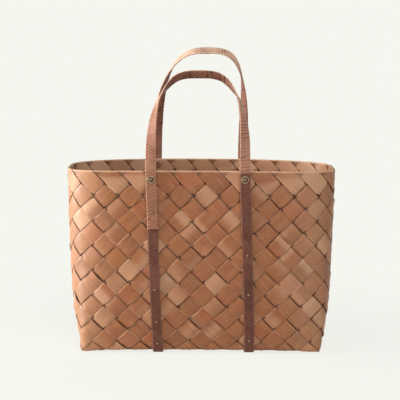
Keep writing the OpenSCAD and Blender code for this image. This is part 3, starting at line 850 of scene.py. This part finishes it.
def strip_offset(strip, rng):
    """How far a strip's middle lies off the weave's: waves over and under, a flap and lifted edges.

    The wave is tanh(k cos(pi s)) scaled to 1, which is flat on the cells and steep between them.
    """
    sizes, across, s, level, way = strip.weave.sizes, strip.across, strip.s, strip.level, strip.way
    wave = np.tanh(-way * np.cos(math.pi * s) * STEEPNESS) / math.tanh(STEEPNESS)
    wave = mix(wave, way, smooth_step(*SIDE_ROWS, level))
    tuck = 1 - TUCKED * smooth_step(*TUCK_RUN, s)
    tilt = sizes.flap_tilt * across * smooth_step(*TILT_RUN, s) * (level > FLAP_FOOT)
    fold = (way * (sizes.over + strip.weave.fold_radius * (1 + np.sin(strip.turn))) + tilt) * tuck
    offset = mix(wave * sizes.over, fold, smooth_step(*FOLD_ROWS, level))
    offset += way * SWELL * np.exp(-((level - SWELL_ROW) / SWELL_REACH) ** 2) * (level < SWELL_ROW + 1)
    cell = np.round(s).astype(int) % CELL_DRAWS
    crown = np.sign(wave) * (level < SWELL_ROW + 0.5) * np.cos(math.pi * (s - np.round(s))) ** 2
    for side in (-1, 1):
        lifts = rng.uniform(0, 1, CELL_DRAWS) ** 4 * sizes.edge_lift
        offset += crown * lifts[cell] * smooth_step(*LIFTED_EDGE, across * side)
    cups = rng.uniform(0.1, 1, CELL_DRAWS) * sizes.cup
    return offset + crown * cups[cell] * (1 - (2 * across) ** 2)


def strip_tones(strip, rng):
    """How orange, grey and light a strip is: a draw for the strip, slow noise along it, and painted light at
    the ends and inside.
    """
    zero = np.zeros(strip.across.shape)
    tones = np.stack([zero + np.clip(rng.uniform(*draw) + size * slow_noise(rng, strip.u, step), 0, most)
                      for draw, size, step, most in (ORANGE, GREY, LIGHT)], -1)
    x = strip.points[..., 0]
    # The inside is paler, partly by its own paler face and partly by painted light; the walls' ends get
    # painted light
    tones[..., 2] += INNER_PALE_AND_PAINTED_LIGHT * (strip.way < 0) * (strip.s > ROWS)
    tones[..., 2] += LEFT_PAINTED_LIGHT * smooth_step(*LEFT_PAINTED_LIGHT_X, x) + RIGHT_PAINTED_LIGHT * hump(x, *RIGHT_PAINTED_LIGHT_X)
    return tones


def strip_wear(strip, rng):
    """How dark the painted shade of each dive is, the painted shade under the flaps and the painted highlight
    along the folds.
    """
    s, level = strip.s, strip.level
    # The dives on one side of each cell get darker painted shade, as shade falls from the light on the left
    shaded = 0.5 + 0.5 * np.cos(math.pi * (s - 0.5))
    dives = np.clip(mix(*DIVES, shaded) + DIVE_SPREAD * slow_noise(rng, strip.u + 0.5, 1), 0.04, 1)
    wall_end = level - np.maximum(0, s - ROWS)
    dives = np.where(s > TIP_RUN, 1.0, dives * (1 - smooth_step(*DIVE_END, wall_end)) * (s < ROWS))
    # Painted shade under the flaps
    under = smooth_step(*SHADE_ROWS, level) * (s < SHADE_END) * SHADE
    above = (level - ROWS) * strip.weave.row_h
    # A painted highlight along the rim's fold
    painted_highlight = np.exp(-(above / FOLD_HIGHLIGHT_WIDTH) ** 2) * (s > FOLD_HIGHLIGHT_FROM) * rng.uniform(*FOLD_HIGHLIGHT_SHARES)
    return np.stack([dives, under, painted_highlight], -1)


def profile_rings(strip, offset, thick):
    """Rings of points round a ribbon: its outer face from left to right, then its inner face."""
    up = np.array([0, 0, 1.0])
    face = -np.sin(strip.turn)[..., None] * strip.out - (strip.way * np.cos(strip.turn))[..., None] * up
    middle = strip.points + strip.out * offset[..., None]
    lift = face * (thick * OUTER_SHARE / 2)[..., None]
    return np.concatenate([middle + lift, (middle - lift)[:, 1:-1][:, ::-1]], axis=1)


def round_trip(values):
    """Values across a ribbon repeated for its inner face, in the order of its rings."""
    return np.concatenate([values, values[:, 1:-1][:, ::-1]], axis=1)


def bark_layer(strip, offset, thick, width, seed, tones, wear):
    """A layer of bark round a ribbon: its rings of points, its places for the grain, its tones and its
    painted light and shade.
    """
    places = np.stack([strip.s, strip.across * width, np.full(strip.s.shape, seed)], -1)
    return [profile_rings(strip, offset, thick)] + [round_trip(values) for values in (places, tones, wear)]


def bark_strip(weave, run, number, rng):
    """One strip from rim to rim, and the thin second layer of bark that peeps out beside it."""
    sizes = weave.sizes
    strip = Ribbon(weave, run, 1.0, ROWS + FLAP_CELLS, 0.0, rng)
    offset = strip_offset(strip, rng)
    thick = sizes.bark_t * (1 - THINNED * smooth_step(*THIN_RUN, strip.s))
    seed = number * STRIP_SEED
    layers = [bark_layer(strip, offset, thick, 1.0, seed, strip_tones(strip, rng), strip_wear(strip, rng))]

    lining = Ribbon(weave, run, LINING_WIDTH, LINING_ROWS, LINING_SHIFT, rng)
    wave = np.tanh(-lining.way * np.cos(math.pi * lining.s) * LINING_STEEPNESS)
    zero = np.zeros(wave.shape)
    tone = slow_noise(rng, lining.u, 1.0) + zero
    light, shade = [np.clip(middle + size * tone, least, most)
                    for middle, size, least, most in (LINING_LIGHT, LINING_SHADE)]
    tones = np.stack([zero, zero, light], -1)
    # The second layer's dives and shade are painted shade
    wear = np.stack([zero + LINING_DIVES, shade, zero], -1)
    layers.append(bark_layer(lining, wave * LINING_OFFSET * sizes.over, zero + LINING_THICK, LINING_GRAIN,
                             seed + LINING_SEED, tones, wear))

    rings, count = layers[0][0].shape[:2]
    faces = loop_faces(rings, count) + loop_faces(*layers[1][0].shape[:2], start=rings * count)
    points, places, tones, wear = [np.concatenate([part.reshape(-1, 3) for part in parts])
                                   for parts in zip(*layers)]
    attributes = {"strip_place": places, "strip_tone": tones, "strip_wear": wear}
    return make_object(run[0] + "_bark", points, faces, attributes, material("bark"))


# Straps: each is a profile carried along a path over the wall, the base or the handle's loop

def strap_profile(width, thick):
    """A strap's section: points across and off it, and which face each lies on."""
    edge = thick / 2
    reach = width / 2
    half_x = np.array([0, 0.5, 0.76, 0.84, 0.93, 0.985, 1]) * reach
    half_h = np.array([1.04, 1.0, 0.94, 0.9, 0.86, 0.55, 0]) * edge
    outer_x = np.concatenate([-half_x[:0:-1], half_x])
    outer_h = np.concatenate([half_h[:0:-1], half_h])
    x = np.concatenate([outer_x, outer_x[-2:0:-1]])
    h = np.concatenate([outer_h, -np.minimum(outer_h[-2:0:-1], edge * 0.96)])
    return x, h, h / edge


# Spacing of the creases on each kind of leather and their slants at its two ends, the shares of a strap's
# run over which the slant changes, and how high the leather stands between creases
CREASES = {"dark_leather": (3.4 * MM, (0.3, 0.3)), "tan_leather": (5.2 * MM, (-0.6, -0.1))}
SLANT_CHANGE = (0.4, 0.6)
CREASE_LIFT = 0.9 * MM

# Seeds of the straps' patterns in the material
STRAP_SEEDS = {"left_girdle": 5, "right_girdle": 3, "front_handle": 7, "back_handle": 9}

# Sizes and steps of the slow waves of a strap's width and thickness
WIDTH_WAVES = ((0.012, 6 * MM), (0.012, 20 * MM))
THICK_WAVES = ((0.12 * MM, 4 * MM), (0.1 * MM, 11 * MM))


def crease_heights(rng, run, x, spacing, slants):
    """Creases across a strap, from 0 in a crease to 1 between two.

    Each is |sin| of a phase that grows with the run, leans by the slant and wanders by slow noise.
    """
    run = run[:, None]
    lean = mix(*slants, smooth_step(*SLANT_CHANGE, run / run.max()))
    wander = slow_noise(rng, run + 0.3 * x, 11 * MM) * 0.8 + slow_noise(rng, run - 0.6 * x, 3.7 * MM) * 0.15
    phase = math.pi * (run + lean * x) / spacing + wander * 2
    depth = 0.612 + 0.288 * slow_noise(rng, run + 0.5 * x, 13 * MM)
    deep = 1 - np.abs(np.sin(phase)) ** 0.8
    small = 1 - np.abs(np.sin(phase * 2.3 + 1 + wander * 3))
    return 1 - depth * deep - 0.0875 * small


def strap_mesh(name, slot, path, across, outward, crest, on_wall, rng):
    """A closed strap along a path, with slightly uneven edges."""
    sizes = settings("basket_leather")
    tangent = unit(np.gradient(path, axis=0))
    right = unit(across - tangent * np.sum(across * tangent, -1, keepdims=True))
    out = np.cross(right, tangent)
    flip = np.sign(np.sum(out * outward, -1).mean())
    right, out = right * flip, out * flip
    run = run_along(path)
    x, h, face = strap_profile(sizes.width, sizes.thick)
    uneven = 1 + slow_waves(rng, run, *WIDTH_WAVES)
    wave = slow_waves(rng, run, *THICK_WAVES)[:, None] * (np.abs(face) > 0.3) * np.sign(face)
    crease = crease_heights(rng, run, x, *CREASES[slot])
    height = h + wave + (crease - 0.5) * CREASE_LIFT * np.clip(face, 0, 1)
    rings = (path[:, None] + right[:, None] * (x * uneven[:, None])[..., None]
             + out[:, None] * height[..., None])
    place = np.stack(np.broadcast_arrays(run[:, None], x, STRAP_SEEDS[name]), -1)
    facing = np.stack(np.broadcast_arrays(face, crest[:, None], on_wall[:, None]), -1)
    attributes = {"strap_place": place, "strap_face": facing, "crease": crease[..., None]}
    return make_object(name + "_leather", rings, loop_faces(*rings.shape[:2]), attributes, material(slot))


# Cells to each side over which the way along a wall is measured, and rows by which a step in a strap's
# offset starts and ends below the row that it climbs to
ALONG_REACH = 0.2
STEP_BELOW = (0.8, 0.2)


class Straps:
    """Where the straps lie on the weave."""

    def __init__(self):
        self.weave = Weave(settings("basket_weave"))
        self.sizes = settings("basket_leather")
        self.end_row = ROWS - self.sizes.end_len / self.weave.row_h
        self.bend_z = self.weave.rim_z + self.sizes.bend_h

    def cells(self, side, left, l):
        """The strap's place among the cells, which runs evenly from the base to the rim."""
        hand = 0 if left else 1
        at_rim = getattr(self.sizes, f"{side}_places")[hand]
        return mix(self.sizes.feet[hand], at_rim, np.clip(l / ROWS, 0, 1))

    def on_wall(self, side, left, l):
        """Points on the weave under a strap, the way along the wall and the way out of it."""
        weave = self.weave
        l = np.asarray(l, float)
        share = weave.lean(np.maximum(0, l))
        rim_pitch = weave.rim_pitch(side)
        pitch = mix(weave.half_cell, rim_pitch, share)
        x = self.cells(side, left, l) * pitch
        moved = weave.shift_k * rim_pitch * share
        k = BASE_I / 2 + (x - moved) / pitch
        if side == "back":
            k = BASE_I / 2 + ROUND_K / 2 - (x + moved) / pitch
        points, out = weave.surface(k, l)
        points[..., 0] = x
        along = unit(weave.plain(k + ALONG_REACH, l) - weave.plain(k - ALONG_REACH, l))
        return points, along, out

    def on_top(self, side, left):
        """Whether the handle's end lies over the girdle strap here."""
        return left == (side == "front")

    def step(self, l, row):
        """A rise from 0 to 1 over the part of a row below a row."""
        return smooth_step(*(row - below for below in STEP_BELOW), l)

    def seat(self, l):
        """The offset of the lowest leather's inner face."""
        return mix(self.sizes.wall_seat, self.sizes.rim_seat, self.step(l, ROWS - 2))

    def end_offset(self, side, left, l):
        """The offset of a handle end's inner face."""
        return self.seat(l) + (self.sizes.layer if self.on_top(side, left) else 0)

    def girdle_offset(self, side, left, l):
        """The offset of a girdle strap's inner face."""
        over_end = 0 if self.on_top(side, left) else self.sizes.layer * self.step(l, self.end_row)
        return self.seat(l) + over_end

    def outer_offset(self, side, left, l):
        """The offset of the outermost leather's outer face."""
        ends = np.where(l > self.end_row, self.end_offset(side, left, l), 0)
        return np.maximum(self.girdle_offset(side, left, l), ends) + self.sizes.thick


# Spacing of the points along a strap
STRAP_STEP = 0.9 * MM


def evened(values, path, times):
    """Values along a path, read again at an even step, and then each moved to the mean of itself and
    its neighbours, some times over."""
    run = run_along(path)
    even = np.linspace(0, run[-1], int(run[-1] / STRAP_STEP) + 1)
    values = np.stack([np.interp(even, run, column) for column in values.T], -1)
    for _ in range(times):
        values = np.concatenate([values[:1], (values[:-2] + 2 * values[1:-1] + values[2:]) / 4, values[-1:]])
    return values


# How often a strap's path and a girdle strap's facing are smoothed
PATH_TIMES = 12
GIRDLE_TIMES = 20

# Rows of a girdle strap's points on a wall, and its stretch under the base: points, how far short of the
# base's edge it ends, and how far it stays off the ground
GIRDLE_ROWS = np.concatenate([np.linspace(14.92, 12, 40), np.linspace(11.9, 0.3, 110)])
UNDER_POINTS = 80
UNDER_INSET = 4 * MM
GROUND_CLEARANCE = 0.75 * MM


def girdle_strap(straps, left, rng):
    """A dark strap: down the front wall, under the base and up the back wall."""
    half_cell = straps.weave.half_cell
    middle = straps.sizes.thick / 2
    parts = []
    for side, rows in (("front", GIRDLE_ROWS), ("back", GIRDLE_ROWS[::-1])):
        points, along, out = straps.on_wall(side, left, rows)
        path = points + out * (straps.girdle_offset(side, left, rows) + middle)[:, None]
        parts.append((path, -SIDE_SIGN[side] * along, out))
    depth = BASE_J / 2 * half_cell - UNDER_INSET
    y = np.linspace(-depth, depth, UNDER_POINTS)
    x = straps.cells("front", left, 0) * half_cell
    under = np.stack([0 * y + x, y, 0 * y + middle + GROUND_CLEARANCE], -1)
    parts.insert(1, (under, (1, 0, 0) + 0 * under, (0, 0, -1) + 0 * under))
    path, along, out = [np.concatenate(part) for part in zip(*parts)]
    along, out = evened(along, path, GIRDLE_TIMES), evened(out, path, GIRDLE_TIMES)
    path = evened(path, path, PATH_TIMES)
    plain = np.zeros(len(path))
    name = "left_girdle" if left else "right_girdle"
    return strap_mesh(name, "dark_leather", path, along, out, plain, plain, rng)


# Where a loop's shoulders lie, and how far they reach, as shares of its height, and the power that spaces
# the points along a loop
SHOULDER_UP = 0.87
SHOULDER_REACH = 0.09
LOOP_SPACING = 1.5


def loop_curve(straps, side, share):
    """A handle's loop from the left leg to the right one, as a superellipse that leans in.

    Its outer face looks out of the basket at the legs and turns evenly about the strap's run.
    """
    sizes = straps.sizes
    words = ("loop_h", "loop_in", "aside", "tilt", "turn_left", "turn_right", "shoulder")
    height, lean_in, aside, tilt, soon_left, soon_right, shoulder = [
        getattr(sizes, word)[SIDES.index(side)] for word in words]
    sign = SIDE_SIGN[side]
    legs = []
    for left in (True, False):
        points, _, _ = straps.on_wall(side, left, np.array([float(ROWS)]))
        reach = straps.end_offset(side, left, float(ROWS)) + sizes.thick / 2
        legs.append(points[0] + np.array([0, sign * reach, 0]))
    rise = (1 - np.abs(share)) ** LOOP_SPACING
    angle = np.pi / 2 * rise
    up = np.sin(angle) ** (2 / sizes.leg_square)
    side_to_side = np.sign(share) * np.maximum(np.cos(angle), 0) ** (2 / sizes.leg_square)
    (xa, ya, _), (xb, yb, _) = legs
    x = (xa + xb) / 2 + (xb - xa) / 2 * side_to_side + aside * up ** 2
    y = (ya + yb) / 2 + (yb - ya) / 2 * side_to_side - sign * lean_in * up ** 2
    lower = shoulder * np.exp(-((up - SHOULDER_UP) / SHOULDER_REACH) ** 2)
    path = np.stack([x, y, straps.bend_z + height * up - lower], -1)
    power = np.where(share < 0, soon_left, soon_right)
    turn = np.radians((90 + tilt) * (1 - (1 - rise) ** power))[:, None]
    tangent = unit(np.gradient(path, axis=0))
    leg_out = np.array([0, sign, 0.0])
    flat = unit(leg_out - tangent * tangent[:, 1:2] * sign)
    over_top = np.cross(tangent, flat) * sign
    return path, flat * np.cos(turn) + over_top * np.sin(turn), up


# Points of a handle's ends and loop, and how often its facing and the colour of its legs are smoothed
END_POINTS = 60
LOOP_POINTS = 161
HANDLE_TIMES = 6
LEG_TIMES = 40

# How much the legs take the wall's colour, which on the left leg is painted shade, with the shares of the
# loop over which this grows, and the shares of the loop's height over which its crest takes a painted
# highlight
LEFT_LEG_SHADE = 0.6
LEFT_LEG_SHADE_SHARES = (-0.35, -0.7)
RIGHT_LEG = 0.45
RIGHT_LEG_SHARES = (0.75, 0.95)
CREST_UP = (0.45, 0.95)


def handle_strap(straps, side, rng):
    """A handle: up the wall from one end, over the loop and down the wall to the other end."""
    rows = np.linspace(straps.end_row, ROWS, END_POINTS)
    ends = []
    for left in (True, False):
        points, _, out = straps.on_wall(side, left, rows)
        path = points + out * (straps.end_offset(side, left, rows) + straps.sizes.thick / 2)[:, None]
        ends.append((path, out, 0 * rows, 1 + 0 * rows))
    share = np.linspace(-1, 1, LOOP_POINTS)
    # On the left leg the wall's darker colour is painted shade
    on_legs = (LEFT_LEG_SHADE * smooth_step(*LEFT_LEG_SHADE_SHARES, share)
               + RIGHT_LEG * smooth_step(*RIGHT_LEG_SHARES, share))
    parts = zip(ends[0], (*loop_curve(straps, side, share), on_legs), [values[::-1] for values in ends[1]])
    path, out, crest, on_wall = [np.concatenate(part) for part in parts]
    crest = smooth_step(*CREST_UP, evened(crest[:, None], path, 0)[:, 0])
    on_wall = evened(on_wall[:, None], path, LEG_TIMES)[:, 0]
    out = evened(out, path, HANDLE_TIMES)
    path = evened(path, path, PATH_TIMES)
    across = np.cross(unit(np.gradient(path, axis=0)), out)
    return strap_mesh(f"{side}_handle", "tan_leather", path, across, out, crest, on_wall, rng)


# Rivets: turned profiles set square on the outermost leather

def revolve(profile, faces):
    """Points of a profile of radius, height and rub, where the rub also holds painted highlights, turned
    about Z, from the axis outwards.
    """
    angle = np.linspace(0, 2 * math.pi, faces, endpoint=False)
    radius, height, rub = profile.T[..., None]
    ring = np.broadcast_arrays(np.cos(angle) * radius, np.sin(angle) * radius, height)
    return np.stack(ring, -1), np.broadcast_to(rub, ring[0].shape)


# Heights of the small rivets, as shares of the wall's, on a girdle strap under a handle's end and on one
# that lies over it
RIVETS_UNDER_END = (0.785, 0.358, 0.174, 0.052)
RIVETS_OVER_END = (0.551, 0.331, 0.068)


def rivet_places(straps, kind):
    """Sides, straps and rows of the handle rivets or of the small strap rivets."""
    cap_row = ROWS - settings("basket_metal").cap_below_rim / straps.weave.row_h
    places = []
    for side in SIDES:
        for left in (True, False):
            shares = RIVETS_UNDER_END if straps.on_top(side, left) else RIVETS_OVER_END
            rows = [cap_row] if kind == "caps" else [share * ROWS for share in shares]
            places += [(side, left, row) for row in rows]
    return places


def rivet_heads(straps, kind, profile, faces, name, node):
    """Copies of a turned head at each place, joined in one mesh."""
    points, rubs, quads = [], [], []
    ring, rub = revolve(profile, faces)
    for side, left, row in rivet_places(straps, kind):
        centre, along, out = [values[0] for values in straps.on_wall(side, left, np.array([row]))]
        seat = float(straps.outer_offset(side, left, row)) + settings("basket_metal").rivet_gap
        basis = np.stack([along, np.cross(out, along), out])
        quads += loop_faces(len(profile), faces, start=sum(len(p) for p in points))
        points.append((ring @ basis + centre + out * seat).reshape(-1, 3))
        rubs.append(rub.ravel())
    rubbed = np.concatenate(rubs)[:, None]
    piece = make_object(name, np.concatenate(points), quads, {"rubbed": rubbed}, material("old_brass"))
    put(piece, "basket", "old_brass", node)


def cap_profile(metal):
    """A cap with a raised ring, a groove and a domed middle: radius, height and rub, the middle's rub being a
    painted highlight.
    """
    r, h = metal.cap_d / 2, metal.cap_h
    foot = [(0.12, -0.05, 0), (0.94, -0.05, 0.2)]
    ring = [(1.0, 0.12, 0.6), (1.0, 0.34, 0.9), (0.94, 0.5, 1.0), (0.84, 0.54, 1.0), (0.76, 0.46, 0.6)]
    groove = [(0.7, 0.3, 0.0), (0.64, 0.3, 0.0)]
    # The dome's rub, rising to its middle, is a painted highlight
    dome = [(0.6 * math.cos(a), 0.34 + 0.62 * math.sin(a), 0.1 + 0.35 * math.sin(a) ** 3)
            for a in np.radians([5, 20, 38, 56, 72, 84])]
    rows = foot + ring + groove + dome + [(0.01, 0.96, 0.45)]
    return np.array([(a * r, b * h, c) for a, b, c in rows])


def dome_profile(metal):
    """A low domed head: radius, height and rub, which rises to a painted highlight at its top."""
    r, h = metal.rivet_d / 2, metal.rivet_h
    rows = [(0.12, 0, 0), (0.96, 0, 0.0), (1, 0.15, 0.1)]
    # The rub that rises to the top is a painted highlight
    rows += [(math.cos(a), 0.25 + 0.75 * math.sin(a), 0.05 + 0.95 * math.sin(a) ** 5)
             for a in np.radians([8, 25, 45, 65, 82])]
    return np.array([(a * r, b * h, c) for a, b, c in rows + [(0.01, 1.0, 1)]])


# Seeds of the straps' random draws, and faces round a cap and a small rivet
GIRDLE_DRAWS = 5
HANDLE_DRAWS = 6
CAP_FACES = 40
DOME_FACES = 24


class BASKET_OT_strips(bpy.types.Operator):
    """Weave the 28 bark strips of the wall and base"""
    bl_idname = "basket.strips"
    bl_label = "Bark Strips"

    def execute(self, context):
        weave = Weave(settings("basket_weave"))
        rng = np.random.default_rng(weave.sizes.seed)
        for number, run in enumerate(strip_runs()):
            piece = bark_strip(weave, run, number, rng)
            put(piece, "basket", "bark", run[0])
        return {"FINISHED"}


class BASKET_OT_girdles(bpy.types.Operator):
    """Lay the two dark straps that run under the base"""
    bl_idname = "basket.girdles"
    bl_label = "Girdle Straps"

    def execute(self, context):
        straps = Straps()
        rng = np.random.default_rng(GIRDLE_DRAWS)
        for left, node in ((True, "left_girdle_strap"), (False, "right_girdle_strap")):
            put(girdle_strap(straps, left, rng), "basket", "dark_leather", node)
        return {"FINISHED"}


class BASKET_OT_handles(bpy.types.Operator):
    """Bend the two leather handles and lay their ends on the wall"""
    bl_idname = "basket.handles"
    bl_label = "Handles"

    def execute(self, context):
        straps = Straps()
        rng = np.random.default_rng(HANDLE_DRAWS)
        for side in SIDES:
            piece = handle_strap(straps, side, rng)
            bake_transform(piece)
            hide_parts(f"{side}_handle_loop", f"{side}_left_handle_end", f"{side}_right_handle_end")
        return {"FINISHED"}


class BASKET_OT_rivets(bpy.types.Operator):
    """Set the handle rivets and the small strap rivets"""
    bl_idname = "basket.rivets"
    bl_label = "Rivets"

    def execute(self, context):
        straps = Straps()
        metal = settings("basket_metal")
        rivet_heads(straps, "caps", cap_profile(metal), CAP_FACES, "rivet_caps", "handle_rivet_caps")
        rivet_heads(straps, "rivets", dome_profile(metal), DOME_FACES, "rivet_domes", "strap_rivets")
        for node in ("handle_rivet_posts", "strap_rivet_washers"):
            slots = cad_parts[node].data.materials
            slots.clear()
            slots.append(material("inner_brass"))
        return {"FINISHED"}


FLOOR_REACH = 12.0
# Distances from the basket at which the floor's own light starts to hide its shadow and hides it
SHADOW_FADE = (0.25, 0.7)
SHADOW_LIGHT = (0.88, 1.0)

# Sizes and places of the lamps on the left, at the front and above the front, and where they aim
LAMPS = (("key", 1.1, (-2.5, -0.42, 0.6)), ("fill", 1.2, (0.8, -2.3, 0.8)), ("top", 1.0, (0.2, -1.4, 2.0)))
LAMP_AIM = Vector((0, 0, 0.2))


class BASKET_OT_stage(bpy.types.Operator):
    """Set the camera, the lamps and the pale floor"""
    bl_idname = "basket.stage"
    bl_label = "Stage"

    def execute(self, context):
        looks = settings("basket_stage")
        self.place_camera(context.scene, looks)
        self.lay_floor(context.scene, looks)
        self.hang_lamps(context.scene, looks)
        self.light_world(context.scene, looks)
        context.scene.view_settings.view_transform = "Standard"
        return {"FINISHED"}

    def place_camera(self, scene, looks):
        """Looks along +Y and down by the pitch, with the horizon turned by the roll."""
        data = bpy.data.cameras.new("camera")
        data.sensor_width = 36
        data.lens = looks.lens
        camera = bpy.data.objects.new("camera", data)
        scene.collection.objects.link(camera)
        pitch, roll = math.radians(looks.camera_pitch), math.radians(looks.camera_roll)
        level = Vector((1, 0, 0))
        upright = Vector((0, math.sin(pitch), math.cos(pitch)))
        right = level * math.cos(roll) - upright * math.sin(roll)
        up = level * math.sin(roll) + upright * math.cos(roll)
        back = Vector((0, -math.cos(pitch), math.sin(pitch)))
        turn = Matrix((right, up, back)).transposed().to_4x4()
        camera.matrix_world = Matrix.Translation(looks.camera) @ turn
        scene.camera = camera

    def lay_floor(self, scene, looks):
        """A wide floor that shows the paper's colour and a faint shadow."""
        mesh = bpy.data.meshes.new("floor")
        corners = [(x * FLOOR_REACH, y * FLOOR_REACH, 0) for x, y in ((-1, -1), (1, -1), (1, 1), (-1, 1))]
        mesh.from_pydata(corners, [], [(0, 1, 2, 3)])
        floor = bpy.data.objects.new("floor", mesh)
        scene.collection.objects.link(floor)
        s = Shader(bpy.data.materials.new("paper"))
        paper = tuple(looks.paper)
        place = s.node("ShaderNodeTexCoord", output="Object")
        away = s.node("ShaderNodeVectorMath", {"operation": "LENGTH"}, {0: place}, output="Value")
        clear = s.ramp(away, *SHADOW_FADE, *SHADOW_LIGHT)
        matt = s.node("ShaderNodeBsdfDiffuse", inputs={"Color": paper})
        plain = s.node("ShaderNodeEmission", inputs={"Color": paper, "Strength": 1.0})
        both = s.node("ShaderNodeMixShader", inputs={0: s.behind() * clear, 1: matt, 2: plain})
        s.node("ShaderNodeOutputMaterial", inputs={"Surface": both})
        mesh.materials.append(s.owner)

    def hang_lamps(self, scene, looks):
        """A large lamp on the left, a weaker one at the front and one above the front."""
        for power, (name, size, place) in zip(looks.lamps, LAMPS):
            data = bpy.data.lights.new(name, "AREA")
            data.energy = power
            data.size = size
            lamp = bpy.data.objects.new(name, data)
            lamp.location = place
            lamp.rotation_euler = (LAMP_AIM - Vector(place)).to_track_quat("-Z", "Y").to_euler()
            scene.collection.objects.link(lamp)

    def light_world(self, scene, looks):
        """Even light from all round, with the paper's colour behind the basket."""
        s = Shader(bpy.data.worlds.new("world"))
        soft = s.node("ShaderNodeBackground", inputs={"Color": (1, 1, 1, 1), "Strength": looks.ambient})
        seen = s.node("ShaderNodeBackground", inputs={"Color": tuple(looks.paper)})
        both = s.node("ShaderNodeMixShader", inputs={0: s.behind(), 1: soft, 2: seen})
        s.node("ShaderNodeOutputWorld", inputs={"Surface": both})
        scene.world = s.owner


OPERATORS = (BASKET_OT_stage, BASKET_OT_strips, BASKET_OT_girdles, BASKET_OT_handles, BASKET_OT_rivets)


class BASKET_PT_pieces(bpy.types.Panel):
    """Lists the basket's pieces and their sizes"""
    bl_label = "Woven Basket"
    bl_idname = "BASKET_PT_pieces"
    bl_space_type = "VIEW_3D"
    bl_region_type = "UI"
    bl_category = "Basket"

    def draw(self, context):
        for operator in OPERATORS:
            self.layout.operator(operator.bl_idname)
        for group in GROUPS:
            values = getattr(context.scene, group)
            box = self.layout.box()
            box.label(text=values.bl_rna.description)
            for name in values.__annotations__:
                box.prop(values, name)


GROUPS = {
    "basket_weave": WeaveSizes,
    "basket_bark": BarkLooks,
    "basket_leather": LeatherSizes,
    "basket_leather_looks": LeatherLooks,
    "basket_metal": MetalLooks,
    "basket_stage": StageLooks,
}


def register():
    for group, kind in GROUPS.items():
        bpy.utils.register_class(kind)
        setattr(bpy.types.Scene, group, bpy.props.PointerProperty(type=kind))
    for operator in OPERATORS:
        bpy.utils.register_class(operator)
    bpy.utils.register_class(BASKET_PT_pieces)


def unregister():
    bpy.utils.unregister_class(BASKET_PT_pieces)
    for operator in reversed(OPERATORS):
        bpy.utils.unregister_class(operator)
    for group, kind in GROUPS.items():
        delattr(bpy.types.Scene, group)
        bpy.utils.unregister_class(kind)


def main():
    register()
    bpy.ops.basket.stage()
    bpy.ops.basket.strips()
    bpy.ops.basket.girdles()
    bpy.ops.basket.handles()
    bpy.ops.basket.rivets()


if __name__ == "__main__":
    main()
